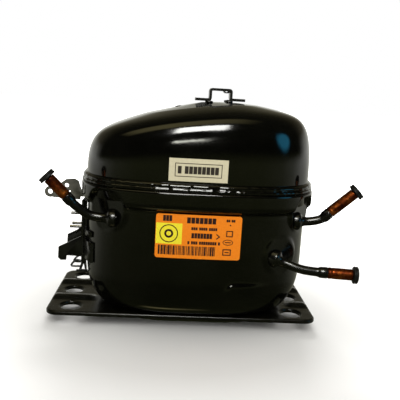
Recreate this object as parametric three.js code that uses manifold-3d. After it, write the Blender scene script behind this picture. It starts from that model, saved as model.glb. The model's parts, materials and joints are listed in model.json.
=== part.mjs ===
// Hermetic reciprocating compressor of a household refrigerator, with the pump unit inside its shell.
// Millimetres, +Z up. The origin is the middle of the base plate's underside and the plate is long in X.

import * as THREE from 'three';
import { mergeVertices } from 'three/addons/utils/BufferGeometryUtils.js';
import Module from 'manifold-3d';

const wasm = await Module();
wasm.setup();

// Driving dimensions
const GAP = 0.3; // clearance between faces that would touch
const PLAN = { x: 8, stretch: 26, power: 3, fullStretchAt: 20 }; // superellipse about x, longer in X by stretch
const SHELL = { half: 59, wall: 3, neck: 90, collar: 94, lip: 105.5 };
const BOTTOM = { low: 3.3, dish: 35.5, slope: 6, seat: 9.4, cornerIn: 15, shoulder: 38 };
const LEAN = { from: 55, left: 5, right: 10 }; // how far the lower shell's ends lean in, from this height down
const COLLAR = { outer: 63.6, inner: 60.1 };
const DOME = {
  half: 59.8, wall: 3, edge: 97.3, foot: 109, rise: 61, fall: 0.2, square: 16, peakX: 38, taper: 57,
};
const SEAM = { width: 3.4, height: 5, root: 1 };
const PLATE = { length: 205.2, width: 97.4, thick: 3, foot: 6, corner: 9, dish: 38, slope: 6, beadGap: 8 };
const FOOT_HOLE = { radius: 8, x: 85, y: 35, middleX: 88.5, middleRadius: 7.6 };
const BEAD = { y: 17.5, halfWidth: 5.5, height: 2.2 };
const TUBE = { outer: 3.3, inner: 2.5, stubOuter: 4.1, stubInner: 3.2, plug: 6.3 };
const CYLINDER = { z: 115.5, bore: 12.9, piston: 12.6, throw: 10, mouth: 27, deck: 57 };
const SHAFT = { radius: 9, pin: 5.5, bottom: 30, webBottom: 97.6, webTop: 102.8 };
const STATOR = { half: 46, bottom: 42, top: 74, bore: 27.5, slots: 12, slotTo: 33.5, boltAt: 39.5 };
const ROTOR = { radius: 27, bottom: 44, top: 72, hubPocket: 14.5 };
const FRAME = { bottom: 90, top: 97, hub: 13, hubBottom: 70, half: 46 };
const SPRING = { x: 36, y: 21, radius: 5.4, wire: 0.9, seat: 6.6, bottom: 11.1, top: 41.7, turns: 5 };
const TERMINAL = { y: 0, z: 67, header: 14, pinCircle: 6.5, pinRadius: 1.2, pinClear: 1.5, tip: -92 };
const TERMINALS = { common: 90, start: 210, run: 330 }; // angle of each pin round the header, in degrees
const BRACKET = { left: 2.7, postLeft: 13.4, postRight: 31.4, right: 41.4, half: 6, thick: 2, crown: 178.4 };
const FENCE = { outer: -80.6, inner: -79, half: 20, thick: 1.6, bottom: 43, top: 88, flangeTo: -76.7 };
const CAGE = { bars: 8, circle: 22, radius: 1.7, ringIn: 18, ringOut: 26, ring: 5 };
const HEAD_BOLT = { out: 14.6, hole: 2.4 };

// Materials
const finish = (color, roughness, metalness) => new THREE.MeshStandardMaterial({ color, roughness, metalness });
const blackPaint = finish(0x0b0b0c, 0.22, 0.0);
const copper = finish(0xb8652f, 0.3, 1.0);
const rubber = finish(0x161616, 0.8, 0.0);
const steel = finish(0x9a9da1, 0.35, 1.0);
const darkSteel = finish(0x3b3d40, 0.45, 1.0);
const castIron = finish(0x55585a, 0.6, 0.9);
const aluminium = finish(0xc5c8cb, 0.4, 1.0);
const windingCopper = finish(0xa85a25, 0.45, 0.8);
const laminations = finish(0x6e7073, 0.5, 0.9);
const gasketFibre = finish(0x3f4a44, 0.85, 0.0);
const plastic = finish(0xd9d4c4, 0.5, 0.0);
const orangeLabel = finish(0xf5941e, 0.4, 0.0);
const whiteLabel = finish(0xe6e2d2, 0.45, 0.0);

const unit = new THREE.Group();

function add(name, geometry, material) {
  const mesh = new THREE.Mesh(geometry, material);
  mesh.name = name;
  unit.add(mesh);
}

// Booleans
function toSolid(geometry) {
  const bare = geometry.clone();
  bare.deleteAttribute('normal');
  bare.deleteAttribute('uv');
  const merged = mergeVertices(bare, 1e-4);
  const index = merged.index.array;
  const triangles = [];
  for (let i = 0; i < index.length; i += 3) {
    const [a, b, c] = [index[i], index[i + 1], index[i + 2]];
    if (a !== b && b !== c && c !== a) {
      triangles.push(a, b, c);
    }
  }
  return new wasm.Manifold(new wasm.Mesh({
    numProp: 3,
    vertProperties: new Float32Array(merged.attributes.position.array),
    triVerts: new Uint32Array(triangles),
  }));
}

function toGeometry(solid) {
  const mesh = solid.getMesh();
  const geometry = new THREE.BufferGeometry();
  geometry.setAttribute('position', new THREE.BufferAttribute(new Float32Array(mesh.vertProperties), 3));
  geometry.setIndex(new THREE.BufferAttribute(new Uint32Array(mesh.triVerts), 1));
  geometry.computeVertexNormals();
  return geometry;
}

function join(...geometries) {
  return toGeometry(geometries.map(toSolid).reduce((sum, next) => sum.add(next)));
}

function cut(geometry, ...tools) {
  return toGeometry(tools.map(toSolid).reduce((rest, tool) => rest.subtract(tool), toSolid(geometry)));
}

function common(geometry, other) {
  return toGeometry(toSolid(geometry).intersect(toSolid(other)));
}

// Simple shapes, each placed by its limits
function box(x0, x1, y0, y1, z0, z1) {
  const block = new THREE.BoxGeometry(x1 - x0, y1 - y0, z1 - z0);
  return block.translate((x0 + x1) / 2, (y0 + y1) / 2, (z0 + z1) / 2);
}

function rodX(radius, x0, x1, y, z, sides = 20) {
  const rod = new THREE.CylinderGeometry(radius, radius, x1 - x0, sides);
  return rod.rotateZ(Math.PI / 2).translate((x0 + x1) / 2, y, z);
}

function rodY(radius, x, y0, y1, z, sides = 20) {
  return new THREE.CylinderGeometry(radius, radius, y1 - y0, sides).translate(x, (y0 + y1) / 2, z);
}

function rodZ(radius, x, y, z0, z1, sides = 20) {
  const rod = new THREE.CylinderGeometry(radius, radius, z1 - z0, sides);
  return rod.rotateX(Math.PI / 2).translate(x, y, (z0 + z1) / 2);
}

function outline(points) {
  return new THREE.Shape(points.map(([x, y]) => new THREE.Vector2(x, y)));
}

function extrude(shape, depth) {
  return new THREE.ExtrudeGeometry(shape, { depth, bevelEnabled: false, curveSegments: 8 });
}

// A sheet drawn in the X-Z plane, from y0 to y0 + depth
function uprightSheet(shape, y0, depth) {
  return extrude(shape, depth).rotateX(Math.PI / 2).translate(0, y0 + depth, 0);
}

function roundedRectangle(halfX, halfY, radius) {
  const shape = new THREE.Shape();
  shape.absarc(halfX - radius, halfY - radius, radius, 0, Math.PI / 2);
  shape.absarc(radius - halfX, halfY - radius, radius, Math.PI / 2, Math.PI);
  shape.absarc(radius - halfX, radius - halfY, radius, Math.PI, 1.5 * Math.PI);
  shape.absarc(halfX - radius, radius - halfY, radius, 1.5 * Math.PI, 2 * Math.PI);
  return shape;
}

function circle(radius, x = 0, y = 0) {
  return new THREE.Path().absarc(x, y, radius, 0, 2 * Math.PI);
}

function sweep(curve, outer, inner, steps, sides) {
  const section = new THREE.Shape().absarc(0, 0, outer, 0, 2 * Math.PI);
  if (inner > 0) {
    section.holes.push(circle(inner));
  }
  const options = { extrudePath: curve, steps, bevelEnabled: false, curveSegments: sides / 2 };
  return new THREE.ExtrudeGeometry(section, options);
}

// A profile of [radius, z] points turned round the Z axis
function turned(profile, sides) {
  const points = profile.map(([radius, z]) => new THREE.Vector2(radius, z));
  return new THREE.LatheGeometry(points, sides).rotateX(Math.PI / 2);
}

// Shells: a turned profile whose circles become superellipses in plan
function shellForm(profile, halfLength, height) {
  const geometry = turned(profile, 36);
  const place = geometry.attributes.position;
  for (let i = 0; i < place.count; i += 1) {
    const radius = Math.hypot(place.getX(i), place.getY(i));
    const onAxis = radius < 1e-6;
    const cosine = onAxis ? 1 : place.getX(i) / radius;
    const sine = onAxis ? 0 : place.getY(i) / radius;
    const reach = (Math.abs(cosine) ** PLAN.power + Math.abs(sine) ** PLAN.power) ** (-1 / PLAN.power);
    const x = PLAN.x + halfLength(radius) * reach * cosine;
    place.setXYZ(i, x, radius * reach * sine, height(x, place.getZ(i)));
  }
  return geometry;
}

// Half length of a shell where its half width is radius: the bowl is round near its middle, the dome isn't
const longer = (radius) => radius + PLAN.stretch * Math.min(1, radius / PLAN.fullStretchAt);
const sameShape = (radius) => radius * (DOME.half + PLAN.stretch) / DOME.half;

// Y of the shell's front wall at x, for a wall whose half depth is half
function frontWall(x, half) {
  const along = Math.abs(x - PLAN.x) / (half + PLAN.stretch);
  return -half * (1 - along ** PLAN.power) ** (1 / PLAN.power);
}

// X of the shell's left-hand wall at y, for a wall whose half depth is half
function leftWall(y, half) {
  return PLAN.x - (half + PLAN.stretch) * (1 - (Math.abs(y) / half) ** PLAN.power) ** (1 / PLAN.power);
}

// Bottom of the lower shell from its middle out: a shallow dish, a step up and a round corner into the wall
function bottomProfile(inset) {
  const steps = 5;
  const { low, dish, slope, seat, cornerIn, shoulder } = BOTTOM;
  const bend = dish - inset * Math.tan(Math.PI / 8);
  const points = [[0, low + inset], [bend, low + inset], [bend + slope, seat + inset]];
  for (let i = 0; i <= steps; i += 1) {
    const angle = (i / steps) * Math.PI / 2;
    const radius = SHELL.half - cornerIn + (cornerIn - inset) * Math.sin(angle);
    points.push([radius, shoulder - (shoulder - seat - inset) * Math.cos(angle)]);
  }
  return points;
}

function leanIn(geometry) {
  const place = geometry.attributes.position;
  for (let i = 0; i < place.count; i += 1) {
    const out = (place.getX(i) - PLAN.x) / (SHELL.half + PLAN.stretch);
    const down = Math.max(0, LEAN.from - place.getZ(i)) / LEAN.from;
    const lean = out > 0 ? LEAN.right : LEAN.left;
    place.setX(i, place.getX(i) - lean * out * Math.abs(out) * down * down);
  }
  return geometry;
}

function lowerShell() {
  const profile = [
    ...bottomProfile(0),
    [SHELL.half, SHELL.neck],
    [COLLAR.outer - 1, SHELL.collar - 1.5],
    [COLLAR.outer, SHELL.collar],
    [COLLAR.outer, SHELL.lip],
    [COLLAR.inner, SHELL.lip],
    [COLLAR.inner, SHELL.collar + 2],
    [SHELL.half - SHELL.wall, SHELL.neck + 2],
    ...bottomProfile(SHELL.wall).reverse(),
  ];
  return leanIn(shellForm(profile, longer, (x, z) => z));
}

// The dome is highest near its right-hand end and falls away to the left
function domeRise(x) {
  return DOME.rise - Math.max(0, DOME.peakX - x) ** 1.5 / DOME.taper;
}

function domeProfile(inset) {
  const steps = 9;
  const half = DOME.half - inset;
  const rise = DOME.rise - inset;
  const points = [[0, DOME.foot + rise], [half * 0.4, DOME.foot + rise * (1 - DOME.fall * 0.16)]];
  for (let i = 1; i <= steps; i += 1) {
    const angle = (i / steps) * Math.PI / 2;
    const out = Math.sin(angle) ** (2 / DOME.square);
    points.push([half * out, DOME.foot + rise * (1 - DOME.fall * out * out) * Math.cos(angle) ** (2 / 3)]);
  }
  return points.reverse();
}

function domeHeight(x) {
  const out = Math.abs(x - PLAN.x) / (DOME.half + PLAN.stretch);
  return DOME.foot + domeRise(x) * (1 - DOME.fall * out * out);
}

function upperShell() {
  const innerEdge = [DOME.half - DOME.wall, DOME.edge];
  const outerEdge = [DOME.half, DOME.edge];
  const profile = [innerEdge, outerEdge, ...domeProfile(0), ...domeProfile(DOME.wall).reverse(), innerEdge];
  const height = (x, z) => (z > DOME.foot ? DOME.foot + (z - DOME.foot) * domeRise(x) / DOME.rise : z);
  return shellForm(profile, sameShape, height);
}

function weldSeam() {
  const steps = 3;
  const root = [DOME.half + GAP, SHELL.lip + GAP];
  const profile = [root];
  for (let i = 0; i <= steps; i += 1) {
    const angle = (i / steps) * Math.PI / 2;
    const out = SEAM.width * Math.cos(angle);
    profile.push([root[0] + out, root[1] + SEAM.root + SEAM.height * Math.sin(angle)]);
  }
  profile.push(root);
  return shellForm(profile, longer, (x, z) => z);
}

// Tubes: the routes start inside the shell and run out through its wall
const vectors = (points) => points.map(([x, y, z]) => new THREE.Vector3(x, y, z));
const TUBES = {
  process: {
    stub: 16.8,
    wall: 0,
    route: vectors([
      [-46, -50, 82.5], [-54, -50, 82.4], [-63, -50, 82.6], [-70, -50.4, 84], [-80, -51.4, 90.6],
      [-86.8, -52, 97.6],
    ]),
  },
  suction: {
    stub: 22.5,
    wall: 0,
    route: vectors([
      [72, -40, 84.4], [80, -40.6, 84.5], [92, -41.8, 84.9], [100.3, -42.6, 87.5], [105.6, -43, 92.4],
    ]),
  },
  discharge: {
    stub: 18,
    wall: 1,
    route: vectors([
      [60.8, -40, 63.4], [61.8, -46.5, 60.8], [67, -52, 57.6], [76, -55.4, 54.6], [85, -57.6, 52.2],
      [96, -59, 51.2], [103.5, -59.8, 51.1],
    ]),
  },
};

// Places a geometry that was made along +Z, from the origin, at a point and along a direction
function aim(geometry, from, direction) {
  const turn = new THREE.Quaternion().setFromUnitVectors(new THREE.Vector3(0, 0, 1), direction);
  return geometry.applyQuaternion(turn).translate(from.x, from.y, from.z);
}

function pipeGeometry(outer, inner, length, sides = 12) {
  const section = new THREE.Shape().absarc(0, 0, outer, 0, 2 * Math.PI);
  section.holes.push(circle(inner));
  return new THREE.ExtrudeGeometry(section, { depth: length, bevelEnabled: false, curveSegments: sides / 2 });
}

function plugGeometry() {
  const flange = 3.4;
  const ease = 0.6;
  return turned([
    [0, -12], [2.4, -12], [2.9, -11], [2.9, 0], [TUBE.plug, 0], [TUBE.plug, flange - ease],
    [TUBE.plug - ease, flange], [0, flange],
  ], 16);
}

// A hole along the route, from its point number wall to well past the next one
function wallHole({ route, wall }) {
  const past = route[wall].clone().lerp(route[wall + 1], 1.6);
  return sweep(new THREE.LineCurve3(route[wall], past), TUBE.outer + 3 * GAP, 0, 1, 12);
}

for (const [name, { route, stub }] of Object.entries(TUBES)) {
  const curve = new THREE.CatmullRomCurve3(route);
  const direction = curve.getTangent(1);
  const start = curve.getPoint(1).addScaledVector(direction, GAP);
  const end = start.clone().addScaledVector(direction, stub);
  add(`${name}_tube`, sweep(curve, TUBE.outer, TUBE.inner, 8, 10), blackPaint);
  add(`${name}_stub`, aim(pipeGeometry(TUBE.stubOuter, TUBE.stubInner, stub), start, direction), copper);
  add(`${name}_plug`, aim(plugGeometry(), end.addScaledVector(direction, GAP), direction), rubber);
}

// Shell, weld and terminal opening
const terminalX = PLAN.x - SHELL.half - PLAN.stretch;
add('lower_shell', cut(
  lowerShell(),
  ...Object.values(TUBES).map(wallHole),
  rodX(TERMINAL.header + GAP, terminalX - 6, terminalX + 12, TERMINAL.y, TERMINAL.z),
), blackPaint);
add('upper_shell', upperShell(), blackPaint);
add('weld_seam', weldSeam(), blackPaint);

// Base plate: a pressed plate whose dished middle rests on the ground, with six grommet holes and four beads
function basePlate() {
  const { foot, thick, dish, slope } = PLATE;
  const end = PLATE.length / 2;
  const top = foot + thick;
  const inner = dish - 1.5;
  const outside = [[0, 0], [dish, 0], [dish + slope, foot], [dish + slope, top - 1], [0, top - 1]];
  const inside = [[0, thick], [inner, thick], [inner + slope, top], [inner + slope, top + 3], [0, top + 3]];
  const level = (x, z) => z;
  const slab = extrude(roundedRectangle(end, PLATE.width / 2, PLATE.corner), thick).translate(0, 0, foot);
  const dished = cut(join(slab, shellForm(outside, longer, level)), shellForm(inside, longer, level));
  return cut(addBeads(dished, end, top), ...footHoles());
}

// Beads run from the plate's ends in towards the dish, raised above and hollow below
function addBeads(plate, end, top) {
  const reach = PLATE.dish + PLATE.slope + PLAN.stretch + PLATE.beadGap;
  const fromEdge = 0.1;
  let beaded = plate;
  for (const [x0, x1] of [[fromEdge - end, PLAN.x - reach], [PLAN.x + reach, end - fromEdge]]) {
    for (const y of [-BEAD.y, BEAD.y]) {
      const ridge = rodX(1, x0, x1, 0, 0, 14).scale(1, BEAD.halfWidth, BEAD.height).translate(0, y, top);
      const groove = rodX(1, x0 - 2, x1 - 2, 0, 0, 14).scale(1, BEAD.halfWidth - 2, BEAD.height - 0.4);
      beaded = cut(join(beaded, ridge), groove.translate(0, y, PLATE.foot));
    }
  }
  return beaded;
}

function footHoles() {
  const holes = [];
  for (const sx of [-1, 1]) {
    holes.push(rodZ(FOOT_HOLE.middleRadius, sx * FOOT_HOLE.middleX, 0, -5, 20, 24));
    for (const sy of [-1, 1]) {
      holes.push(rodZ(FOOT_HOLE.radius, sx * FOOT_HOLE.x, sy * FOOT_HOLE.y, -5, 20, 24));
    }
  }
  return holes;
}
add('base_plate', basePlate(), blackPaint);

// Hat-shaped strip on the dome, with level feet and a small ear under its crown
function topBracket() {
  const { left, postLeft, postRight, right, half, thick, crown } = BRACKET;
  const footLeft = domeHeight(postLeft + thick) + GAP;
  const footRight = domeHeight(postRight - thick) + GAP;
  const under = crown - thick;
  const ear = { from: 25.2, to: 28, drop: 1.7 };
  return uprightSheet(outline([
    [left, footLeft], [postLeft + thick, footLeft], [postLeft + thick, under], [ear.from, under],
    [ear.from + 0.6, under - ear.drop], [ear.to, under - ear.drop], [ear.to + 0.4, under],
    [postRight - thick, under], [postRight - thick, footRight], [right, footRight], [right, footRight + thick],
    [postRight, footRight + thick], [postRight, crown - 1], [postRight - 1, crown], [postLeft + 1, crown],
    [postLeft, crown - 1], [postLeft, footLeft + thick], [left, footLeft + thick],
  ]), -half, 2 * half);
}
add('top_bracket', topBracket(), blackPaint);

// Electrical side: sealed terminal, its pins, and the sheet brackets that hold the relay and its cover
function pinRod(degrees, x0, x1, radius) {
  const angle = degrees * Math.PI / 180;
  const y = TERMINAL.y + TERMINAL.pinCircle * Math.cos(angle);
  return rodX(radius, x0, x1, y, TERMINAL.z + TERMINAL.pinCircle * Math.sin(angle), 12);
}

function pinHoles(x0, x1) {
  return Object.values(TERMINALS).map((degrees) => pinRod(degrees, x0, x1, TERMINAL.pinClear));
}

add('terminal_header', cut(
  rodX(TERMINAL.header, terminalX - 1, terminalX + 5, TERMINAL.y, TERMINAL.z),
  ...pinHoles(terminalX - 4, terminalX + 6),
), darkSteel);
for (const [name, degrees] of Object.entries(TERMINALS)) {
  add(`terminal_pin_${name}`, pinRod(degrees, TERMINAL.tip, terminalX + 9, TERMINAL.pinRadius), steel);
}

// A curved tab that follows the shell's left-hand wall from y0 to y1
function wallTab(y0, y1, z0, z1) {
  const steps = 6;
  const near = [];
  const far = [];
  for (let i = 0; i <= steps; i += 1) {
    const y = y0 + (y1 - y0) * i / steps;
    near.push([leftWall(y, SHELL.half + 1.5 * GAP), y]);
    far.unshift([leftWall(y, SHELL.half + 1.5 * GAP + FENCE.thick), y]);
  }
  return extrude(outline([...near, ...far]), z1 - z0).translate(0, 0, z0);
}

// Legs below the fence: a strip that splits in two and ends in a short bar
function fenceStand() {
  const stand = outline([
    [-80.4, 46], [-80.4, 38], [-82, 32.4], [-84, 32.4], [-84, 30.8], [-75.1, 30.8], [-75.1, 32.4],
    [-75.9, 32.4], [-76.4, 38], [-76.6, 46],
  ]);
  const between = [[-78.4, 38], [-80, 32.7], [-77.2, 32.7]];
  stand.holes.push(new THREE.Path(between.map(([x, z]) => new THREE.Vector2(x, z))));
  return uprightSheet(stand, -FENCE.half, FENCE.thick);
}

// Bracket round the terminal: hooked side walls, edge flanges, two tabs that lap the shell, a latch and legs
function terminalFence() {
  const { outer, inner, half, thick, bottom, top, flangeTo } = FENCE;
  const rim = half - 4.5;
  const back = cut(box(outer, inner, -half, half, bottom, top), box(outer - 5, inner + 5, -rim, rim, 51, 83));
  const flange = half - 2;
  const hook = () => outline([
    [inner, 60.6], [-81, 59.6], [-98, 50.5], [-98.3, 42], [-96.3, 39.9], [-92.1, 40.1], [-91.7, 43.8],
    [inner, 43.5],
  ]);
  const latch = outline([[inner, 67.4], [-82, 67], [-85.4, 62], [-84, 61.4], [-81.8, 63.6], [inner, 64]]);
  return join(
    back,
    box(outer, flangeTo, -flange, thick - flange, bottom, top),
    box(outer, flangeTo, flange - thick, flange, bottom, top),
    uprightSheet(hook(), -half, thick),
    uprightSheet(hook(), half - thick, thick),
    uprightSheet(latch, -half, thick),
    wallTab(1 - flange, -flange - 21, 44.5, 59.5),
    wallTab(1 - flange, -flange - 19, 63.5, 67.5),
    fenceStand(),
  );
}
add('terminal_fence', terminalFence(), blackPaint);

// Flat cover bracket with a lug and a round eye
function coverBracket() {
  const lug = outline([
    [-78.6, 87.8], [-82.4, 91.5], [-84.6, 97.5], [-85.4, 100.4], [-88.6, 102.4], [-95.4, 101.6], [-99, 98.8],
    [-96.8, 93.6], [-91.6, 92.6], [-92.2, 89.6], [-103.6, 90], [-106, 86.9], [-84, 85.8], [-80.4, 83.4],
    [-78.4, 80],
  ]);
  const ring = new THREE.Shape().absarc(-107.6, 91.2, 4.4, 0, 2 * Math.PI);
  const sheet = join(uprightSheet(lug, -6, 1.6), uprightSheet(ring, -6, 1.6));
  const clearOfFence = box(-84, -70, -9, 0, 70, 88.2);
  return cut(sheet, rodY(1.9, -107.6, -9, 0, 91.2, 16), rodY(1.7, -94.7, -9, 0, 96.8, 16), clearOfFence);
}
add('cover_bracket', coverBracket(), blackPaint);

// Wire spring clip that hooks under the relay cover
function lowerClip() {
  const near = [[-79.8, 34.4], [-88.4, 34.8], [-84.4, 39.4], [-80.2, 38.8]];
  const [front, back] = [-16.8, -5];
  const there = near.map(([x, z]) => [x, front, z]);
  const andBack = near.map(([x, z]) => [x, back, z]).reverse();
  const route = vectors([...there, ...andBack]);
  return sweep(new THREE.CatmullRomCurve3(route, false, 'catmullrom', 0.3), 0.8, 0, 24, 6);
}
add('cover_clip', lowerClip(), steel);

// Labels: thin sheets that follow the shell's front wall
function label(x0, x1, z0, z1, half) {
  const steps = 8;
  const near = [];
  const far = [];
  for (let i = 0; i <= steps; i += 1) {
    const x = x0 + (x1 - x0) * i / steps;
    near.push([x, frontWall(x, half) - 0.4]);
    far.unshift([x, frontWall(x, half) - 0.8]);
  }
  return extrude(outline([...near, ...far]), z1 - z0).translate(0, 0, z0);
}
add('rating_label', label(-22.4, 38.8, 57.4, 89.6, SHELL.half), orangeLabel);
add('serial_label', label(-15, 26.3, 113.4, 129.4, DOME.half), whiteLabel);

// Suspension: coil springs on seats welded to the shell bottom, under the stator
class Helix extends THREE.Curve {
  constructor(x, y) {
    super();
    this.x = x;
    this.y = y;
  }

  getPoint(t, target = new THREE.Vector3()) {
    const angle = 2 * Math.PI * SPRING.turns * t;
    const rise = SPRING.top - SPRING.bottom - 2 * SPRING.wire;
    const z = SPRING.bottom + SPRING.wire + rise * t;
    return target.set(this.x + SPRING.radius * Math.cos(angle), this.y + SPRING.radius * Math.sin(angle), z);
  }
}

function springSeat(x, y) {
  return join(rodZ(6, x, y, SPRING.seat, SPRING.bottom - GAP, 16), rodZ(3.2, x, y, SPRING.seat + 1, 18, 12));
}

const CORNERS = [[1, 1], [-1, 1], [-1, -1], [1, -1]];
CORNERS.forEach(([sx, sy], i) => {
  const [x, y] = [sx * SPRING.x, sy * SPRING.y];
  add(`spring_seat_${i + 1}`, springSeat(x, y), steel);
  add(`spring_${i + 1}`, sweep(new Helix(x, y), SPRING.wire, 0, 32, 4), steel);
});

// Motor
function statorCore() {
  const shape = roundedRectangle(STATOR.half, STATOR.half, 14);
  const { bore, slotTo } = STATOR;
  const slot = [
    [-0.035, bore], [-0.075, 29], [-0.075, slotTo], [0.075, slotTo], [0.075, 29], [0.035, bore], [0.15, bore],
    [0.262, bore], [0.374, bore],
  ];
  const hole = [];
  for (let i = 0; i < STATOR.slots; i += 1) {
    const middle = i * 2 * Math.PI / STATOR.slots;
    for (const [turn, radius] of slot) {
      const angle = middle + turn;
      hole.push(new THREE.Vector2(radius * Math.cos(angle), radius * Math.sin(angle)));
    }
  }
  shape.holes.push(new THREE.Path(hole));
  for (const [sx, sy] of CORNERS) {
    shape.holes.push(circle(2.6, sx * STATOR.boltAt, sy * STATOR.boltAt));
  }
  const options = { depth: STATOR.top - STATOR.bottom, bevelEnabled: false, curveSegments: 6 };
  return new THREE.ExtrudeGeometry(shape, options).translate(0, 0, STATOR.bottom);
}
add('stator_core', statorCore(), laminations);

function endTurns(z0, z1) {
  const [inside, outside] = [28.5, 34];
  const round = 2.5;
  return turned([
    [inside, z0 + round], [inside + round, z0], [outside - round, z0], [outside, z0 + round],
    [outside, z1 - round], [outside - round, z1], [inside + round, z1], [inside, z1 - round], [inside, z0 + round],
  ], 24);
}

function statorWinding() {
  const pieces = [endTurns(31, STATOR.bottom - GAP), endTurns(STATOR.top + GAP, 86)];
  for (let i = 0; i < STATOR.slots; i += 1) {
    const bar = box(30, 32.6, -1.5, 1.5, STATOR.bottom - 4, STATOR.top + 4);
    pieces.push(bar.rotateZ(i * 2 * Math.PI / STATOR.slots));
  }
  return join(...pieces);
}
add('stator_winding', statorWinding(), windingCopper);

CORNERS.forEach(([sx, sy], i) => {
  const [x, y] = [sx * STATOR.boltAt, sy * STATOR.boltAt];
  const head = rodZ(4.4, x, y, STATOR.bottom - 4, STATOR.bottom - GAP, 6);
  add(`stator_bolt_${i + 1}`, join(head, rodZ(2.2, x, y, STATOR.bottom - 1, 88, 8)), darkSteel);
});

// One rod for each bar of the rotor's cage
function cageRods(radius) {
  const rods = [];
  for (let i = 0; i < CAGE.bars; i += 1) {
    const angle = i * 2 * Math.PI / CAGE.bars;
    const [x, y] = [CAGE.circle * Math.cos(angle), CAGE.circle * Math.sin(angle)];
    rods.push(rodZ(radius, x, y, ROTOR.bottom - 2, ROTOR.top + 2, 6));
  }
  return rods;
}

function rotorCore() {
  const body = rodZ(ROTOR.radius, 0, 0, ROTOR.bottom, ROTOR.top, 28);
  const bore = rodZ(SHAFT.radius + GAP, 0, 0, ROTOR.bottom - 2, ROTOR.top + 2);
  const pocket = rodZ(ROTOR.hubPocket, 0, 0, FRAME.hubBottom - 2, ROTOR.top + 2);
  return cut(body, bore, pocket, ...cageRods(CAGE.radius + GAP));
}
add('rotor_core', rotorCore(), laminations);

function rotorCage() {
  const ring = (z0, z1) => cut(
    rodZ(CAGE.ringOut, 0, 0, z0, z1, 24),
    rodZ(CAGE.ringIn, 0, 0, z0 - 1, z1 + 1, 20),
  );
  return join(
    ring(ROTOR.bottom - CAGE.ring, ROTOR.bottom - GAP),
    ring(ROTOR.top + GAP, ROTOR.top + CAGE.ring),
    ...cageRods(CAGE.radius),
  );
}
add('rotor_cage', rotorCage(), aluminium);

// Oil gallery through the crank web, halfway between the shaft's axis and the crankpin's, and its round plug
const GALLERY = { radius: 2.5, x: CYLINDER.throw / 2 };

// Crankshaft: shaft, web with a counterweight, and a crankpin; an oil pickup hangs below it
function crankshaft() {
  const { radius, pin, bottom, webBottom, webTop } = SHAFT;
  const weight = new THREE.Shape();
  weight.absarc(0, 0, 25.5, 0.62 * Math.PI, 1.38 * Math.PI);
  weight.absarc(CYLINDER.throw, 0, 7.5, 1.6 * Math.PI, 2.4 * Math.PI);
  const web = extrude(weight, webTop - webBottom);
  const joined = join(
    rodZ(radius, 0, 0, bottom, webBottom + 1),
    web.translate(0, 0, webBottom),
    rodZ(pin, CYLINDER.throw, 0, webTop - 1, CYLINDER.z + 12.5, 24),
  );
  const gallery = rodZ(GALLERY.radius + GAP, GALLERY.x, 0, webBottom - 2, webTop + 1, 24);
  const oilWay = rodZ(2.2, 0, 0, bottom - 1, 60, 12);
  return cut(joined, gallery, oilWay);
}
add('crankshaft', crankshaft(), steel);
add('gallery_plug', rodZ(GALLERY.radius, GALLERY.x, 0, SHAFT.webBottom + 2, SHAFT.webTop - GAP, 24), steel);

function oilPickup() {
  const top = SHAFT.bottom - GAP;
  return turned([[0.8, 12], [2.6, 12], [5.6, 20], [5.6, top], [4.6, top], [4.6, 20.2], [0.8, 12]], 16);
}
add('oil_pickup', oilPickup(), darkSteel);

// Crankcase: one casting with the frame, the main bearing, four legs and the cylinder
const HEAD_BOLTS = CORNERS.map(([sy, sz]) => [sy * HEAD_BOLT.out, sz * HEAD_BOLT.out]);

function crankcase() {
  const { bottom, top, hub, hubBottom, half } = FRAME;
  const { z, bore, mouth, deck } = CYLINDER;
  const cylinderHalf = 18.5;
  const leadWindow = roundedRectangle(8, 12, 4).getPoints(3).map((point) => point.add(new THREE.Vector2(-31, 0)));
  const plan = roundedRectangle(half, half, 12);
  plan.holes.push(new THREE.Path(leadWindow));
  const corners = CORNERS.map(([sx, sy]) => [sx * STATOR.boltAt, sy * STATOR.boltAt]);
  const body = join(
    extrude(plan, top - bottom).translate(0, 0, bottom),
    rodZ(hub, 0, 0, hubBottom, top),
    box(mouth, deck, -cylinderHalf, cylinderHalf, bottom, z + cylinderHalf),
    ...corners.map(([x, y]) => rodZ(6.2, x, y, STATOR.top + GAP, bottom + 2, 20)),
  );
  const bolts = corners.map(([x, y]) => rodZ(2.6, x, y, 60, 89, 16));
  const headBolts = HEAD_BOLTS.map(([y, up]) => rodX(HEAD_BOLT.hole, deck - 16, deck + 2, y, z + up, 8));
  return cut(
    body,
    rodZ(SHAFT.radius + GAP, 0, 0, hubBottom - 5, top + 5),
    rodX(bore, mouth - 5, deck + 5, 0, z, 24),
    ...bolts,
    ...headBolts,
  );
}
add('crankcase', crankcase(), castIron);

// Piston with its cross tube, and the block that slides in it
function pistonYoke() {
  const { z, piston, deck } = CYLINDER;
  const pin = CYLINDER.throw;
  const crown = deck - 1.8;
  const slot = roundedRectangle(SHAFT.pin + 1, 17, SHAFT.pin);
  const slotCut = extrude(slot, 40).translate(pin, 0, z - 20);
  const body = join(
    rodY(11.4, pin, -22, 22, z),
    rodX(7, pin + 8, crown - 18, 0, z, 24),
    rodX(piston, crown - 24, crown, 0, z, 24),
  );
  return cut(body, rodY(9.2, pin, -30, 30, z), slotCut);
}
add('piston_yoke', pistonYoke(), steel);
add('slide_block', cut(
  rodY(8.9, CYLINDER.throw, -9, 9, CYLINDER.z),
  rodZ(SHAFT.pin + GAP, CYLINDER.throw, 0, CYLINDER.z - 20, CYLINDER.z + 20, 24),
), darkSteel);

// Valve group at the cylinder's deck
function deckSheet(x0, x1, ...tools) {
  const { z } = CYLINDER;
  const square = box(x0, x1, -18.5, 18.5, z - 18, z + 18);
  const boltHoles = HEAD_BOLTS.map(([y, up]) => rodX(HEAD_BOLT.hole, x0 - 2, x1 + 2, y, z + up, 8));
  return cut(square, ...boltHoles, ...tools);
}

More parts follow.
